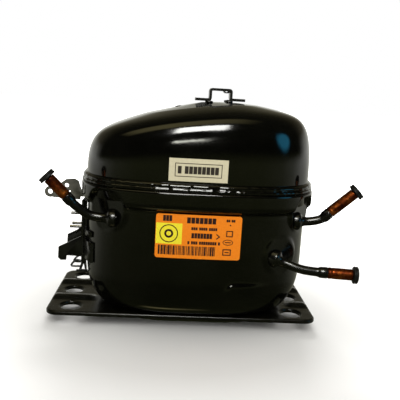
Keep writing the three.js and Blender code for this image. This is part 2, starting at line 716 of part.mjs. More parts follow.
const GASKET = { x0: CYLINDER.deck + GAP, x1: CYLINDER.deck + 1.2 };
const VALVE = { x0: CYLINDER.deck + 1.5, x1: CYLINDER.deck + 4.5, suctionY: -4.5, dischargeY: 6.5, portUp: -5 };
const HEAD = { x0: CYLINDER.deck + 5.9, x1: CYLINDER.deck + 17 };
const REED = { width: 7, thick: 0.4, root: 12, tip: -9 };

function reed(x, y) {
  const z = CYLINDER.z;
  return join(
    box(x, x + REED.thick, y - REED.width / 2, y + REED.width / 2, z + REED.tip + 3, z + REED.root),
    rodX(REED.width / 2, x, x + REED.thick, y, z + REED.tip + REED.width / 2, 20),
  );
}

const port = (y, radius) => rodX(radius, VALVE.x0 - 2, VALVE.x1 + 2, y, CYLINDER.z + VALVE.portUp, 16);
add('cylinder_gasket', deckSheet(GASKET.x0, GASKET.x1, rodX(16.2, 50, 70, 0, CYLINDER.z, 24)), gasketFibre);
add('suction_reed', reed(GASKET.x0 + 0.3, VALVE.suctionY), steel);
add('valve_plate', deckSheet(VALVE.x0, VALVE.x1, port(VALVE.suctionY, 2.6), port(VALVE.dischargeY, 2.4)), steel);
add('discharge_reed', reed(VALVE.x1 + 0.3, VALVE.dischargeY), steel);
add('head_gasket', deckSheet(VALVE.x1 + 0.3, VALVE.x1 + 1.1, rodX(16.2, 50, 70, 0, CYLINDER.z, 24)), gasketFibre);
add('cylinder_head', deckSheet(
  HEAD.x0, HEAD.x1,
  box(HEAD.x0 - 1, HEAD.x1 - 3.5, 1.8, 12, CYLINDER.z - 12, CYLINDER.z + 13),
  box(HEAD.x0 - 1, HEAD.x1 - 3.5, -12, -0.8, CYLINDER.z - 12, CYLINDER.z + 7),
  rodY(3.2, HEAD.x0 + 4, -22, -6, CYLINDER.z, 16),
), aluminium);
HEAD_BOLTS.forEach(([y, up], i) => {
  const z = CYLINDER.z + up;
  const head = rodX(3.6, HEAD.x1 + GAP, HEAD.x1 + 3, y, z, 6);
  add(`head_bolt_${i + 1}`, join(head, rodX(2, CYLINDER.deck - 12, HEAD.x1 + 1, y, z, 8)), darkSteel);
});

// Mufflers and the discharge line
function suctionMuffler() {
  const z = CYLINDER.z;
  const bodyShape = roundedRectangle(15, 10, 5);
  const body = extrude(bodyShape, 32).translate(57, -34.5, 98);
  const neck = rodY(3, HEAD.x0 + 4, -26, -18.8, z, 16);
  const inlet = rodZ(4, 50, -34, 86, 99, 16);
  return cut(join(body, neck, inlet), rodZ(2.8, 50, -34, 80, 110, 16));
}
add('suction_muffler', suctionMuffler(), plastic);

function dischargeMuffler() {
  const [radius, low, high] = [12.5, 99, 127];
  return turned([
    [0, low], [radius - 3, low], [radius, low + 3], [radius, high - 5], [radius - 5, high], [0, high],
  ], 20).translate(43, 32.5, 0);
}
add('discharge_muffler', dischargeMuffler(), darkSteel);

const LINE = vectors([
  [60, 34, 106], [62, 33, 96], [64, 24, 86], [66, 8, 78], [67, -10, 72], [64, -26, 67], [61.2, -34, 65],
  [60.7, -39, 63.8],
]);
add('discharge_line', sweep(new THREE.CatmullRomCurve3(LINE), 2.4, 0, 22, 8), copper);

// Leads from the winding to the terminal, with the connector on its inner end
const LEADS = vectors([[-60, 0, 67], [-54, 0, 68], [-50.5, 0, 74], [-48, 0, 81], [-44, 0, 85], [-39.5, 0, 84]]);
add('motor_leads', sweep(new THREE.CatmullRomCurve3(LEADS), 2.6, 0, 12, 8), rubber);
add('lead_connector', cut(
  rodX(11, -66.5, -60.6, TERMINAL.y, TERMINAL.z, 24),
  ...pinHoles(-72, -55),
), plastic);

export default unit;
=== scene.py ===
"""Looks of the hermetic reciprocating compressor, in metres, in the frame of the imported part.

The shell, its weld, the base plate, the tubes, the bracket and the labels are modelled here in fine meshes.
The pump and motor inside the shell keep their CAD solids and get their own finishes.
"""

import json
import math
import random

import bmesh
import bpy
import numpy as np
from mathutils import Matrix, Vector, noise
from mathutils.geometry import delaunay_2d_cdt


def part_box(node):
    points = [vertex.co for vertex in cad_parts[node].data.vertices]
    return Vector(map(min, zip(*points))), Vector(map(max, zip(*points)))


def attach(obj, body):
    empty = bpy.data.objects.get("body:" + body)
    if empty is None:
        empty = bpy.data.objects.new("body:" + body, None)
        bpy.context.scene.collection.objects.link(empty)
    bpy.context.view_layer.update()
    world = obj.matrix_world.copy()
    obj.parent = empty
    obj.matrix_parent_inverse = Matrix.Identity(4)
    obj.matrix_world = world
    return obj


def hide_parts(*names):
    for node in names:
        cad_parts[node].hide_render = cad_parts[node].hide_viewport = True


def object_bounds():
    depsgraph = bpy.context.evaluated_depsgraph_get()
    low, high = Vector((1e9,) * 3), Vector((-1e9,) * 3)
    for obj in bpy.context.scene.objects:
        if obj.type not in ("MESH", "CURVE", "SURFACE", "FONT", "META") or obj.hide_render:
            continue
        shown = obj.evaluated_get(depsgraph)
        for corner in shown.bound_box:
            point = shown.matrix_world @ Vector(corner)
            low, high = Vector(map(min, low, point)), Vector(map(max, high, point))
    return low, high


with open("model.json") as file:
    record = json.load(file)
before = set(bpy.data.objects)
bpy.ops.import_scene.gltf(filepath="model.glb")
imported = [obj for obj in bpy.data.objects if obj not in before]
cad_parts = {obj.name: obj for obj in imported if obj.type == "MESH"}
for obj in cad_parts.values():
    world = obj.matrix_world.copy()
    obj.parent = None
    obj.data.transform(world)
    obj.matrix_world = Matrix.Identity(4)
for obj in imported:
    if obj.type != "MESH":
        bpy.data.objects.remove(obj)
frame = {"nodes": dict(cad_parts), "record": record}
cad_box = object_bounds()

MM = 0.001
TINY = 1e-7


def mm(*values):
    """The values, given in millimetres, in metres."""
    return tuple(value * MM for value in values)


def from_mm(start, shape):
    """A profile of (distance, radius) in metres from one in millimetres, beginning at start."""
    return [(start + along * MM, radius * MM) for along, radius in shape]


# ---------------------------------------------------------------- sizes, from the frame

LOWER_LO, LOWER_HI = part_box("lower_shell")
DOME_LO, DOME_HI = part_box("upper_shell")
SEAM_LO, SEAM_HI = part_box("weld_seam")
PLATE_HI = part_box("base_plate")[1]
BRACKET_LO, BRACKET_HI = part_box("top_bracket")
HEADER_LO, HEADER_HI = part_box("terminal_header")

POWER = 3  # of the superellipse that the shell follows in plan
PLAN_X = (LOWER_LO.x + LOWER_HI.x) / 2
COLLAR_HALF = LOWER_HI.y
STRETCH = LOWER_HI.x - PLAN_X - COLLAR_HALF
WALL_HALF = COLLAR_HALF - 4.6 * MM
WALL = 3 * MM
SHOULDER = 38 * MM
CORNER_IN = 15 * MM
SEAT = 9.4 * MM
DISH_EDGE = 35.5 * MM
DISH_RUN = 6 * MM
LEAN = {"from": 55 * MM, "left": 5 * MM, "right": 10 * MM}
NECK = 90 * MM
LIP = LOWER_HI.z
FULL_STRETCH_AT = 20 * MM

DOME_HALF = DOME_HI.y
DOME_FOOT = 109 * MM
DOME_RISE = 61 * MM
DOME_FALL = 0.2
DOME_SQUARE = 16
DOME_PEAK_X = 38 * MM


def superellipse(angle):
    """Point of the unit superellipse at a lathe angle."""
    c, s = math.cos(angle), math.sin(angle)
    reach = (abs(c) ** POWER + abs(s) ** POWER) ** (-1 / POWER)
    return reach * c, reach * s


def longer(radius):
    """Half length of the lower shell, the weld and the dish, where the half width is radius."""
    return radius + STRETCH * min(1, radius / FULL_STRETCH_AT)


def same_shape(radius):
    """Half length of the dome where the half width is radius."""
    return radius * (DOME_HALF + STRETCH) / DOME_HALF


def lathe_radius(x, y):
    """Half width of the superellipse that passes through a point, by bisection."""
    along, across = abs(x - PLAN_X), abs(y)
    low, high = TINY, 0.15
    for _ in range(30):
        middle = (low + high) / 2
        outside = (along / longer(middle)) ** POWER + (across / middle) ** POWER > 1
        low, high = (middle, high) if outside else (low, middle)
    return (low + high) / 2


def wall_normal(x, y):
    """Outward direction of the shell's upright wall at a point."""
    step = 0.2 * MM
    slope_x = lathe_radius(x + step, y) - lathe_radius(x - step, y)
    slope_y = lathe_radius(x, y + step) - lathe_radius(x, y - step)
    return Vector((slope_x, slope_y, 0)).normalized()


def front_wall(x, half):
    """Y of the front wall at x, for a wall whose half depth is half."""
    along = abs(x - PLAN_X) / (half + STRETCH)
    return -half * (1 - along ** POWER) ** (1 / POWER)


def dome_rise(x):
    """Height of the dome's crown above its foot at x: highest near the right-hand end."""
    return DOME_RISE - MM * max(0, (DOME_PEAK_X - x) / MM) ** 1.5 / 57


def dome_top(x):
    out = abs(x - PLAN_X) / (DOME_HALF + STRETCH)
    return DOME_FOOT + dome_rise(x) * (1 - DOME_FALL * out * out)


def smooth(t):
    t = min(1, max(0, t))
    return t * t * (3 - 2 * t)


# ---------------------------------------------------------------- finishes


WAVE_SCALE = 0.314  # the wave texture's scale, times the distance from one band to the next


class Nodes:
    """Adds nodes and links to a shader tree."""

    def __init__(self, tree):
        self.tree = tree

    def node(self, kind, **settings):
        made = self.tree.nodes.new(kind)
        for key, value in settings.items():
            setattr(made, key, value)
        return made

    def link(self, source, target):
        self.tree.links.new(source, target)

    def ramp(self, source, *stops):
        """A colour or grey for each value of the source; stops are (position, colour or grey)."""
        ramp = self.node("ShaderNodeValToRGB")
        elements = ramp.color_ramp.elements
        while len(elements) < len(stops):
            elements.new(0.5)
        for element, (position, value) in zip(elements, stops):
            colour = value if isinstance(value, tuple) else (value, value, value)
            element.position = position
            element.color = (*colour, 1)
        self.link(source, ramp.inputs["Fac"])
        return ramp.outputs["Color"]


class Finish(Nodes):
    """A Principled material whose detail is built up from textures in object coordinates."""

    def __init__(self, name, **sockets):
        self.material = bpy.data.materials.new(name)
        self.material.use_nodes = True
        super().__init__(self.material.node_tree)
        self.shader = self.tree.nodes["Principled BSDF"]
        self.where = self.node("ShaderNodeTexCoord").outputs["Object"]
        self.last_bump = None
        for socket, value in sockets.items():
            self.shader.inputs[socket.replace("_", " ")].default_value = value

    def stretched(self, scale):
        """Object coordinates multiplied by a scale for each axis."""
        mapping = self.node("ShaderNodeMapping")
        mapping.inputs["Scale"].default_value = scale
        self.link(self.where, mapping.inputs["Vector"])
        return mapping.outputs["Vector"]

    def noise(self, size, detail=3, stretch=(1, 1, 1), rough=0.5):
        """Noise whose lumps are about size metres across."""
        texture = self.node("ShaderNodeTexNoise")
        texture.inputs["Scale"].default_value = 1 / size
        texture.inputs["Detail"].default_value = detail
        texture.inputs["Roughness"].default_value = rough
        self.link(self.stretched(stretch), texture.inputs["Vector"])
        return texture.outputs["Fac"]

    def bands(self, size, distortion=0.0):
        """Level bands, size metres from one to the next."""
        texture = self.node("ShaderNodeTexWave", bands_direction="Z")
        texture.inputs["Scale"].default_value = WAVE_SCALE / size
        texture.inputs["Distortion"].default_value = distortion
        self.link(self.where, texture.inputs["Vector"])
        return texture.outputs["Fac"]

    def tone(self, socket, source, *stops):
        """Drives a socket of the shader by a ramp over the source."""
        self.link(self.ramp(source, *stops), self.shader.inputs[socket])

    def bump(self, source, height):
        """Relief of the given height in metres, on top of any relief added before."""
        bump = self.node("ShaderNodeBump")
        bump.inputs["Distance"].default_value = height
        self.link(source, bump.inputs["Height"])
        if self.last_bump:
            self.link(self.last_bump, bump.inputs["Normal"])
        self.last_bump = bump.outputs["Normal"]
        self.link(self.last_bump, self.shader.inputs["Normal"])


def black_enamel(name, tint=(0.0007, 0.0007, 0.0004), gloss=0.07):
    """Stoved black enamel on pressed steel: deep gloss, slight orange peel, faint dust and handling marks."""
    finish = Finish(name, Specular_IOR_Level=0.5)
    dust = finish.noise(34 * MM, detail=6, rough=0.62)
    dusty = tuple(2.6 * c + 0.0006 for c in tint)
    finish.tone("Base Color", dust, (0.42, tint), (0.80, dusty))
    smear = finish.noise(16 * MM, detail=5, stretch=(1, 1, 2.2))
    finish.tone("Roughness", smear, (0.35, gloss), (0.75, gloss + 0.07))
    finish.bump(finish.noise(2.6 * MM, detail=1), 0.014 * MM)
    finish.bump(finish.noise(0.45 * MM, detail=2), 0.0025 * MM)
    return finish.material


def foot_enamel():
    """The same enamel laid thinner on the base plate, scuffed and grey with dust on top."""
    finish = Finish("foot_enamel", Specular_IOR_Level=0.34)
    dust = finish.noise(11 * MM, detail=6, rough=0.6)
    finish.tone("Base Color", dust, (0.32, (0.0012, 0.0012, 0.0006)), (0.75, (0.007, 0.0068, 0.004)))
    scuff = finish.noise(5 * MM, detail=5, stretch=(0.4, 1, 1))
    finish.tone("Roughness", scuff, (0.3, 0.15), (0.75, 0.30))
    finish.bump(finish.noise(1.6 * MM, detail=2), 0.02 * MM)
    return finish.material


def weld_enamel():
    """Enamel over the weld: glossy, pooled between the ripples."""
    finish = Finish("weld_enamel", Specular_IOR_Level=0.5)
    pool = finish.noise(3.2 * MM, detail=3)
    finish.tone("Base Color", pool, (0.35, (0.0008, 0.0008, 0.0005)), (0.7, (0.003, 0.0029, 0.0018)))
    finish.tone("Roughness", pool, (0.3, 0.04), (0.75, 0.12))
    finish.bump(finish.noise(2.4 * MM, detail=1), 0.06 * MM)
    return finish.material


def grey_bracket_sheet():
    """Grey sheet of the small brackets, lighter than the black enamel, with its tone clouded at random."""
    finish = Finish("grey_bracket_sheet", Specular_IOR_Level=0.5)
    cloud = finish.noise(4 * MM, detail=6, rough=0.65)
    finish.tone("Base Color", cloud, (0.3, (0.055, 0.053, 0.036)), (0.75, (0.125, 0.12, 0.088)))
    finish.tone("Roughness", cloud, (0.3, 0.38), (0.8, 0.6))
    finish.bump(finish.noise(0.5 * MM, detail=2), 0.01 * MM)
    return finish.material


def drawn_copper():
    """Drawn copper tube, brown where the torch passed, with fine marks along it and dull patches."""
    finish = Finish("drawn_copper", Metallic=0.9)
    heat = finish.noise(6 * MM, detail=5, rough=0.6)
    brown, copper, bright = (0.03, 0.0035, 0.0003), (0.12, 0.021, 0.0015), (0.44, 0.13, 0.016)
    finish.tone("Base Color", heat, (0.30, brown), (0.50, copper), (0.76, bright))
    finish.tone("Roughness", finish.noise(2 * MM, detail=4), (0.3, 0.24), (0.75, 0.48))
    finish.bump(finish.noise(0.9 * MM, detail=3, stretch=(0.3, 1, 1)), 0.02 * MM)
    return finish.material


def plug_rubber():
    """Soft moulded black rubber with a matt bloom."""
    finish = Finish("plug_rubber", Specular_IOR_Level=0.25)
    bloom = finish.noise(3 * MM, detail=5, rough=0.7)
    finish.tone("Base Color", bloom, (0.3, (0.003, 0.0027, 0.0015)), (0.8, (0.012, 0.011, 0.007)))
    finish.tone("Roughness", bloom, (0.3, 0.42), (0.8, 0.66))
    finish.bump(finish.noise(0.35 * MM, detail=2), 0.012 * MM)
    return finish.material


def label_film(name, light, dark):
    """Printed polyester label: a fine sheen and a trace of mottling."""
    finish = Finish(name, Specular_IOR_Level=0.12)
    mottle = finish.noise(1.6 * MM, detail=5, rough=0.7)
    finish.tone("Base Color", mottle, (0.35, dark), (0.7, light))
    finish.tone("Roughness", finish.noise(7 * MM), (0.3, 0.34), (0.7, 0.46))
    finish.bump(finish.noise(0.5 * MM, detail=2), 0.003 * MM)
    return finish.material


def printed_ink(name, colour):
    """Thermal print: solid, with small voids in the ink."""
    finish = Finish(name, Specular_IOR_Level=0.2)
    faint = tuple(min(1, 2.2 * c + 0.01) for c in colour)
    finish.tone("Base Color", finish.noise(0.5 * MM, detail=4), (0.42, colour), (0.75, faint))
    finish.tone("Roughness", finish.noise(2 * MM), (0.3, 0.45), (0.7, 0.6))
    return finish.material


def metal(name, dark, light, rough, grain=(1, 1, 1), size=3 * MM, relief=0.01 * MM):
    """Metal with clouded tone, and a grain drawn out along the axes whose factor is small."""
    finish = Finish(name, Metallic=1.0)
    cloud = finish.noise(size * 4, detail=5, rough=0.6)
    finish.tone("Base Color", cloud, (0.3, dark), (0.75, light))
    fine = finish.noise(size / 4, detail=4, stretch=grain)
    finish.tone("Roughness", fine, (0.3, rough), (0.75, rough + 0.18))
    finish.bump(fine, relief)
    return finish.material


def laminated_steel():
    """Stacked electrical sheets: thin layers across Z, blued by annealing."""
    finish = Finish("laminations", Metallic=1.0)
    layers = finish.bands(0.5 * MM)
    finish.tone("Base Color", layers, (0.0, (0.07, 0.075, 0.085)), (0.6, (0.28, 0.28, 0.29)))
    finish.tone("Roughness", finish.noise(3 * MM), (0.3, 0.38), (0.7, 0.55))
    finish.bump(layers, 0.06 * MM)
    return finish.material


def enamelled_winding():
    """Varnished copper wire wound in layers."""
    finish = Finish("winding", Metallic=0.7, Coat_Weight=0.6, Coat_Roughness=0.15)
    wires = finish.bands(0.8 * MM, distortion=1.5)
    finish.tone("Base Color", wires, (0.1, (0.10, 0.025, 0.008)), (0.7, (0.46, 0.16, 0.045)))
    finish.tone("Roughness", finish.noise(2 * MM), (0.3, 0.25), (0.7, 0.45))
    finish.bump(wires, 0.2 * MM)
    return finish.material


def moulded(name, dark, light, rough, size=2 * MM):
    """Moulded plastic or pressed fibre with a fine skin."""
    finish = Finish(name)
    finish.tone("Base Color", finish.noise(size * 5, detail=4), (0.3, dark), (0.75, light))
    finish.tone("Roughness", finish.noise(size, detail=3), (0.3, rough), (0.75, rough + 0.15))
    finish.bump(finish.noise(size / 5, detail=2), 0.015 * MM)
    return finish.material


FINISHES = {
    "shell_enamel": black_enamel("shell_enamel"),
    "tube_enamel": black_enamel("tube_enamel", tint=(0.0012, 0.0012, 0.0007), gloss=0.17),
    "bracket_enamel": black_enamel("bracket_enamel", tint=(0.0018, 0.0018, 0.001), gloss=0.26),
    "foot_enamel": foot_enamel(),
    "weld_enamel": weld_enamel(),
    "grey_bracket_sheet": grey_bracket_sheet(),
    "copper": drawn_copper(),
    "plug_rubber": plug_rubber(),
    "orange_film": label_film("orange_film", (0.86, 0.235, 0.006), (0.80, 0.205, 0.003)),
    "yellow_film": label_film("yellow_film", (0.84, 0.74, 0.03), (0.78, 0.66, 0.02)),
    "cream_film": label_film("cream_film", (0.60, 0.55, 0.38), (0.54, 0.49, 0.33)),
    "brown_ink": printed_ink("brown_ink", (0.022, 0.004, 0.001)),
    "grey_ink": printed_ink("grey_ink", (0.022, 0.015, 0.009)),
    "steel": metal("steel", (0.34, 0.34, 0.35), (0.52, 0.52, 0.53), 0.24, grain=(0.3, 1, 1)),
    "dark_steel": metal("dark_steel", (0.07, 0.07, 0.075), (0.16, 0.16, 0.17), 0.34),
    "cast_iron": metal(
        "cast_iron", (0.06, 0.062, 0.066), (0.15, 0.15, 0.155), 0.5, relief=0.12 * MM, size=2 * MM
    ),
    "aluminium": metal("aluminium", (0.42, 0.43, 0.44), (0.62, 0.63, 0.64), 0.34, relief=0.03 * MM),
    "laminations": laminated_steel(),
    "winding": enamelled_winding(),
    "gasket": moulded("gasket", (0.03, 0.045, 0.04), (0.06, 0.08, 0.07), 0.75),
    "muffler_plastic": moulded("muffler_plastic", (0.62, 0.58, 0.47), (0.72, 0.68, 0.57), 0.38),
}

SLOT_FINISH = {
    "black_paint": "bracket_enamel",
    "weld": "weld_enamel",
    "orange_label": "orange_film",
    "white_label": "cream_film",
}


# ---------------------------------------------------------------- mesh helpers


def add_piece(name, mesh, body, nodes, sharp):
    """Adds a smooth-shaded mesh to the scene, riding on a body in place of CAD nodes, if any."""
    mesh.shade_smooth()
    mesh.set_sharp_from_angle(angle=math.radians(sharp))
    piece = bpy.data.objects.new(name, mesh)
    bpy.context.scene.collection.objects.link(piece)
    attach(piece, body)
    if nodes:
        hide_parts(*nodes)


def make_piece(name, body, slot, finishes, verts, faces, nodes, sharp, indices=None):
    """Makes a piece from points and faces; indices give each face's finish where there are several."""
    mesh = bpy.data.meshes.new(name)
    mesh.from_pydata([tuple(v) for v in verts], [], faces)
    for finish in finishes:
        mesh.materials.append(FINISHES[finish])
    if indices:
        mesh.polygons.foreach_set("material_index", indices)
    tidy = bmesh.new()
    tidy.from_mesh(mesh)
    bmesh.ops.recalc_face_normals(tidy, faces=tidy.faces)
    tidy.to_mesh(mesh)
    tidy.free()
    add_piece(name, mesh, body, nodes, sharp)


def make_fine(node, slot, finish, solid, sharp, body="shell"):
    """Makes the fine mesh that stands for one CAD node."""
    make_piece(f"{node}_fine", body, slot, [finish], *solid, [node], sharp)


def bridge(low, high):
    """Faces between two rings of vertex numbers; a ring of one vertex is a pole."""
    count = max(len(low), len(high))
    faces = []
    for i in range(count):
        j = (i + 1) % count
        if len(low) == 1:
            faces.append((low[0], high[j], high[i]))
        elif len(high) == 1:
            faces.append((low[i], low[j], high[0]))
        else:
            faces.append((low[i], low[j], high[j], high[i]))
    return faces


def rings_solid(rings, closed):
    """Vertices and faces of a solid from its rings of points, joined in order."""
    verts, numbers = [], []
    for ring in rings:
        numbers.append(list(range(len(verts), len(verts) + len(ring))))
        verts.extend(ring)
    pairs = list(zip(numbers, numbers[1:]))
    if closed:
        pairs.append((numbers[-1], numbers[0]))
    faces = [face for low, high in pairs for face in bridge(low, high)]
    return verts, faces


def turned(profile, place, segments):
    """Rings of points round Z, one for each (radius, height) of the profile."""
    rings = []
    for radius, height in profile:
        if radius < TINY:
            rings.append([place(0, height, 0)])
        else:
            rings.append([place(radius, height, 2 * math.pi * i / segments) for i in range(segments)])
    return rings


def evenly(points, spacing):
    """The same polyline with points about spacing apart."""
    lengths = [0]
    for a, b in zip(points, points[1:]):
        lengths.append(lengths[-1] + math.dist(a, b))
    count = max(1, round(lengths[-1] / spacing))
    stations = np.linspace(0, lengths[-1], count + 1)
    columns = [np.interp(stations, lengths, column) for column in zip(*points)]
    return list(zip(*(column.tolist() for column in columns)))


def split_edges(loop, spacing):
    """A closed loop's corners, with points between them about spacing apart."""
    points = []
    for a, b in zip(loop, [*loop[1:], loop[0]]):
        count = math.ceil(math.dist(a, b) / spacing)
        points += [tuple(Vector(a).lerp(Vector(b), i / count)) for i in range(count)]
    return points


def arc(centre, radius, start, end, steps=8):
    """Points of a circle's arc from one angle to another, in degrees."""
    angles = [math.radians(start + (end - start) * i / steps) for i in range(steps + 1)]
    return [(centre[0] + radius * math.cos(a), centre[1] + radius * math.sin(a)) for a in angles]


def inside_loops(points, loops):
    """Which points are inside an odd number of the loops, as an array."""
    x, y = np.array(points).T
    inside = np.zeros(len(x), bool)
    for loop in loops:
        for (x0, y0), (x1, y1) in zip(loop, [*loop[1:], loop[0]]):
            crosses = (y0 > y) != (y1 > y)
            if y1 != y0:
                inside ^= crosses & (x < x0 + (y - y0) * (x1 - x0) / (y1 - y0))
    return inside


def sheet_solid(edges, guides, fill, front, back):
    """A closed solid of sheet between edge loops; front and back place a flat point, given its inset.

    guides are (loop, inset) pairs that run parallel to an edge; fill are loose points.
    """
    points, lines, insets = [], [], []
    for loop, inset in [*((edge, 0) for edge in edges), *guides]:
        first, count = len(points), len(loop)
        lines += [(first + i, first + (i + 1) % count) for i in range(count)]
        points += loop
        insets += [inset] * count
    points += fill
    insets += [None] * len(fill)
    flat, _, triangles, origin, *_ = delaunay_2d_cdt([Vector(p) for p in points], lines, [], 0, TINY)
    inset_of = [insets[o[0]] if o else None for o in origin]
    centres = [sum((flat[i] for i in t), Vector((0, 0))) / 3 for t in triangles]
    kept = [t for t, inside in zip(triangles, inside_loops(centres, edges)) if inside]
    used = sorted({i for t in kept for i in t})
    number = {old: new for new, old in enumerate(used)}
    verts = [front(flat[i].x, flat[i].y, inset_of[i]) for i in used]
    verts += [back(flat[i].x, flat[i].y, inset_of[i]) for i in used]
    over = len(used)
    faces, border = [], {}
    for t in kept:
        a, b, c = (number[i] for i in t)
        faces += [(a, b, c), (c + over, b + over, a + over)]
        for edge in ((a, b), (b, c), (c, a)):
            border[edge] = border.get(edge, 0) + 1
    for a, b in border:
        if (b, a) not in border:
            faces.append((b, a, a + over, b + over))
    return verts, faces


def refined_copy(node, finish):
    """A copy of a CAD sheet-metal part with its flat faces merged and its edges rounded."""
    work = bmesh.new()
    work.from_mesh(frame["nodes"][node].data)
    bmesh.ops.remove_doubles(work, verts=work.verts, dist=1e-6)
    bmesh.ops.dissolve_limit(work, angle_limit=math.radians(2), verts=work.verts, edges=work.edges)
    sharp = [e for e in work.edges if len(e.link_faces) == 2 and e.calc_face_angle() > math.radians(30)]
    bmesh.ops.bevel(work, geom=sharp, offset=0.3 * MM, segments=2, affect="EDGES", clamp_overlap=True)
    mesh = bpy.data.meshes.new(f"{node}_fine")
    work.to_mesh(mesh)
    work.free()
    mesh.materials.clear()
    mesh.materials.append(FINISHES[finish])
    add_piece(f"{node}_fine", mesh, "shell", [node], 40)


# ---------------------------------------------------------------- tube routes, as in the CAD part


class Route:
    """A smooth line through points, then straight on, with a frame that doesn't twist along it."""

    STEPS = 24

    def __init__(self, points, straight):
        points = [Vector(p) * MM for p in points]
        self.places = self.curve(points)
        self.lengths = [0]
        for a, b in zip(self.places, self.places[1:]):
            self.lengths.append(self.lengths[-1] + (b - a).length)
        self.end = self.lengths[-1]
        direction = (points[-1] - points[-2]).normalized()
        self.places.append(self.places[-1] + direction * straight)
        self.lengths.append(self.end + straight)

    def curve(self, points):
        """Centripetal Catmull-Rom through the points."""
        first, last = 2 * points[0] - points[1], 2 * points[-1] - points[-2]
        line = [first, *points, last]
        places = []
        for a, b, c, d in zip(line, line[1:], line[2:], line[3:]):
            spans = [max(TINY, (q - p).length ** 0.5) for p, q in ((a, b), (b, c), (c, d))]
            start = (b - a) / spans[0] - (c - a) / (spans[0] + spans[1]) + (c - b) / spans[1]
            stop = (c - b) / spans[1] - (d - b) / (spans[1] + spans[2]) + (d - c) / spans[2]
            start, stop = start * spans[1], stop * spans[1]
            for i in range(self.STEPS):
                t = i / self.STEPS
                curved = b * (2 * t ** 3 - 3 * t * t + 1) + c * (3 * t * t - 2 * t ** 3)
                places.append(curved + start * (t ** 3 - 2 * t * t + t) + stop * (t ** 3 - t * t))
        places.append(points[-1])
        return places

    def at(self, distance):
        """Point and direction at a distance along the route."""
        i = int(np.searchsorted(self.lengths, distance, side="right")) - 1
        i = min(max(i, 0), len(self.places) - 2)
        span = self.lengths[i + 1] - self.lengths[i]
        t = (distance - self.lengths[i]) / span
        before, after = self.places[i], self.places[i + 1]
        return before.lerp(after, t), (after - before).normalized()

    def shell_exit(self):
        """Distance at which the route passes through the shell's wall."""
        for place, length in zip(self.places, self.lengths):
            if lathe_radius(place.x, place.y) > WALL_HALF:
                return length
        return 0


def along_route(route, profile, segments):
    """Rings round a route, one for each (distance, radius) of the profile."""
    rings = []
    side = None
    for distance, radius in profile:
        centre, direction = route.at(distance)
        if side is None:
            side = direction.orthogonal().normalized()
        side = (side - direction * side.dot(direction)).normalized()
        other = direction.cross(side)
        if radius < TINY:
            rings.append([centre])
            continue
        angles = [2 * math.pi * i / segments for i in range(segments)]
        rings.append([centre + radius * (math.cos(a) * side + math.sin(a) * other) for a in angles])
    return rings


STUB = {"process": 16.8 * MM, "suction": 22.5 * MM, "discharge": 18 * MM}
POINTS = {
    "process": [
        (-46, -50, 82.5), (-54, -50, 82.4), (-63, -50, 82.6), (-70, -50.4, 84), (-80, -51.4, 90.6),
        (-86.8, -52, 97.6),
    ],
    "suction": [
        (72, -40, 84.4), (80, -40.6, 84.5), (92, -41.8, 84.9), (100.3, -42.6, 87.5), (105.6, -43, 92.4),
    ],
    "discharge": [
        (60.8, -40, 63.4), (61.8, -46.5, 60.8), (67, -52, 57.6), (76, -55.4, 54.6), (85, -57.6, 52.2),
        (96, -59, 51.2), (103.5, -59.8, 51.1),
    ],
}
ROUTES = {name: Route(points, straight=0.04) for name, points in POINTS.items()}

GAP = 0.3 * MM
TUBE_OUTER = 3.3 * MM
TUBE_INNER = 2.5 * MM
STUB_OUTER = 4.1 * MM
STUB_INNER = 3.2 * MM


def build_tube(name, route):
    """Enamelled steel tube: a brazed collar at the shell, and a flared socket at its far end."""
    collar = route.shell_exit()
    end = route.end
    start = max(0, collar - 3.2 * MM)
    braze = [
        (-3, 3.3), (-2.6, 6.4), (0.4, 6.9), (1.6, 6.5), (2.4, 5.6), (3.0, 4.6), (3.8, 4.0), (5.2, 3.5),
        (7, 3.3),
    ]
    socket = [(-6.8, 3.4), (-5.8, 3.8), (-5, 4.1), (-0.5, 4.15), (-0.1, 4.05), (0, 3.9)]
    bore = [(0, 3.75), (-3.4, 3.75), (-4.4, 2.5)]
    outer = [(start, TUBE_OUTER), *from_mm(collar, braze)]
    outer += evenly([(outer[-1][0], TUBE_OUTER), (end - 8 * MM, TUBE_OUTER)], 1.5 * MM)[1:]
    outer += from_mm(end, socket)
    inner = from_mm(end, bore)
    inner += evenly([(end - 6 * MM, TUBE_INNER), (start, TUBE_INNER)], 4 * MM)
    solid = rings_solid(along_route(route, outer + inner, 32), closed=True)
    make_fine(f"{name}_tube", "black_paint", "tube_enamel", solid, 50)


def build_stub(name, route):
    """Hollow copper end, necked to fit the steel socket, with a rolled lip outside."""
    start = route.end + GAP
    length = STUB[name]
    neck = [
        (-3, 3.35), (-2.8, 3.55), (-0.2, 3.55), (0.2, 3.9), (0.8, 4.1), (2.0, 4.1), (2.8, 3.95), (3.6, 4.1),
    ]
    outer = from_mm(start, neck)
    outer += evenly([(start + 5 * MM, STUB_OUTER), (start + length - 1 * MM, STUB_OUTER)], 2 * MM)
    outer += [(start + length - 0.3 * MM, STUB_OUTER - 0.05 * MM), (start + length, STUB_OUTER - 0.35 * MM)]
    inner = [(start + length, STUB_INNER + 0.15 * MM), (start + length - 0.4 * MM, STUB_INNER)]
    inner += [(start - 2.9 * MM, STUB_INNER)]
    solid = rings_solid(along_route(route, outer + inner, 40), closed=True)
    make_fine(f"{name}_stub", "copper", "copper", solid, 50)


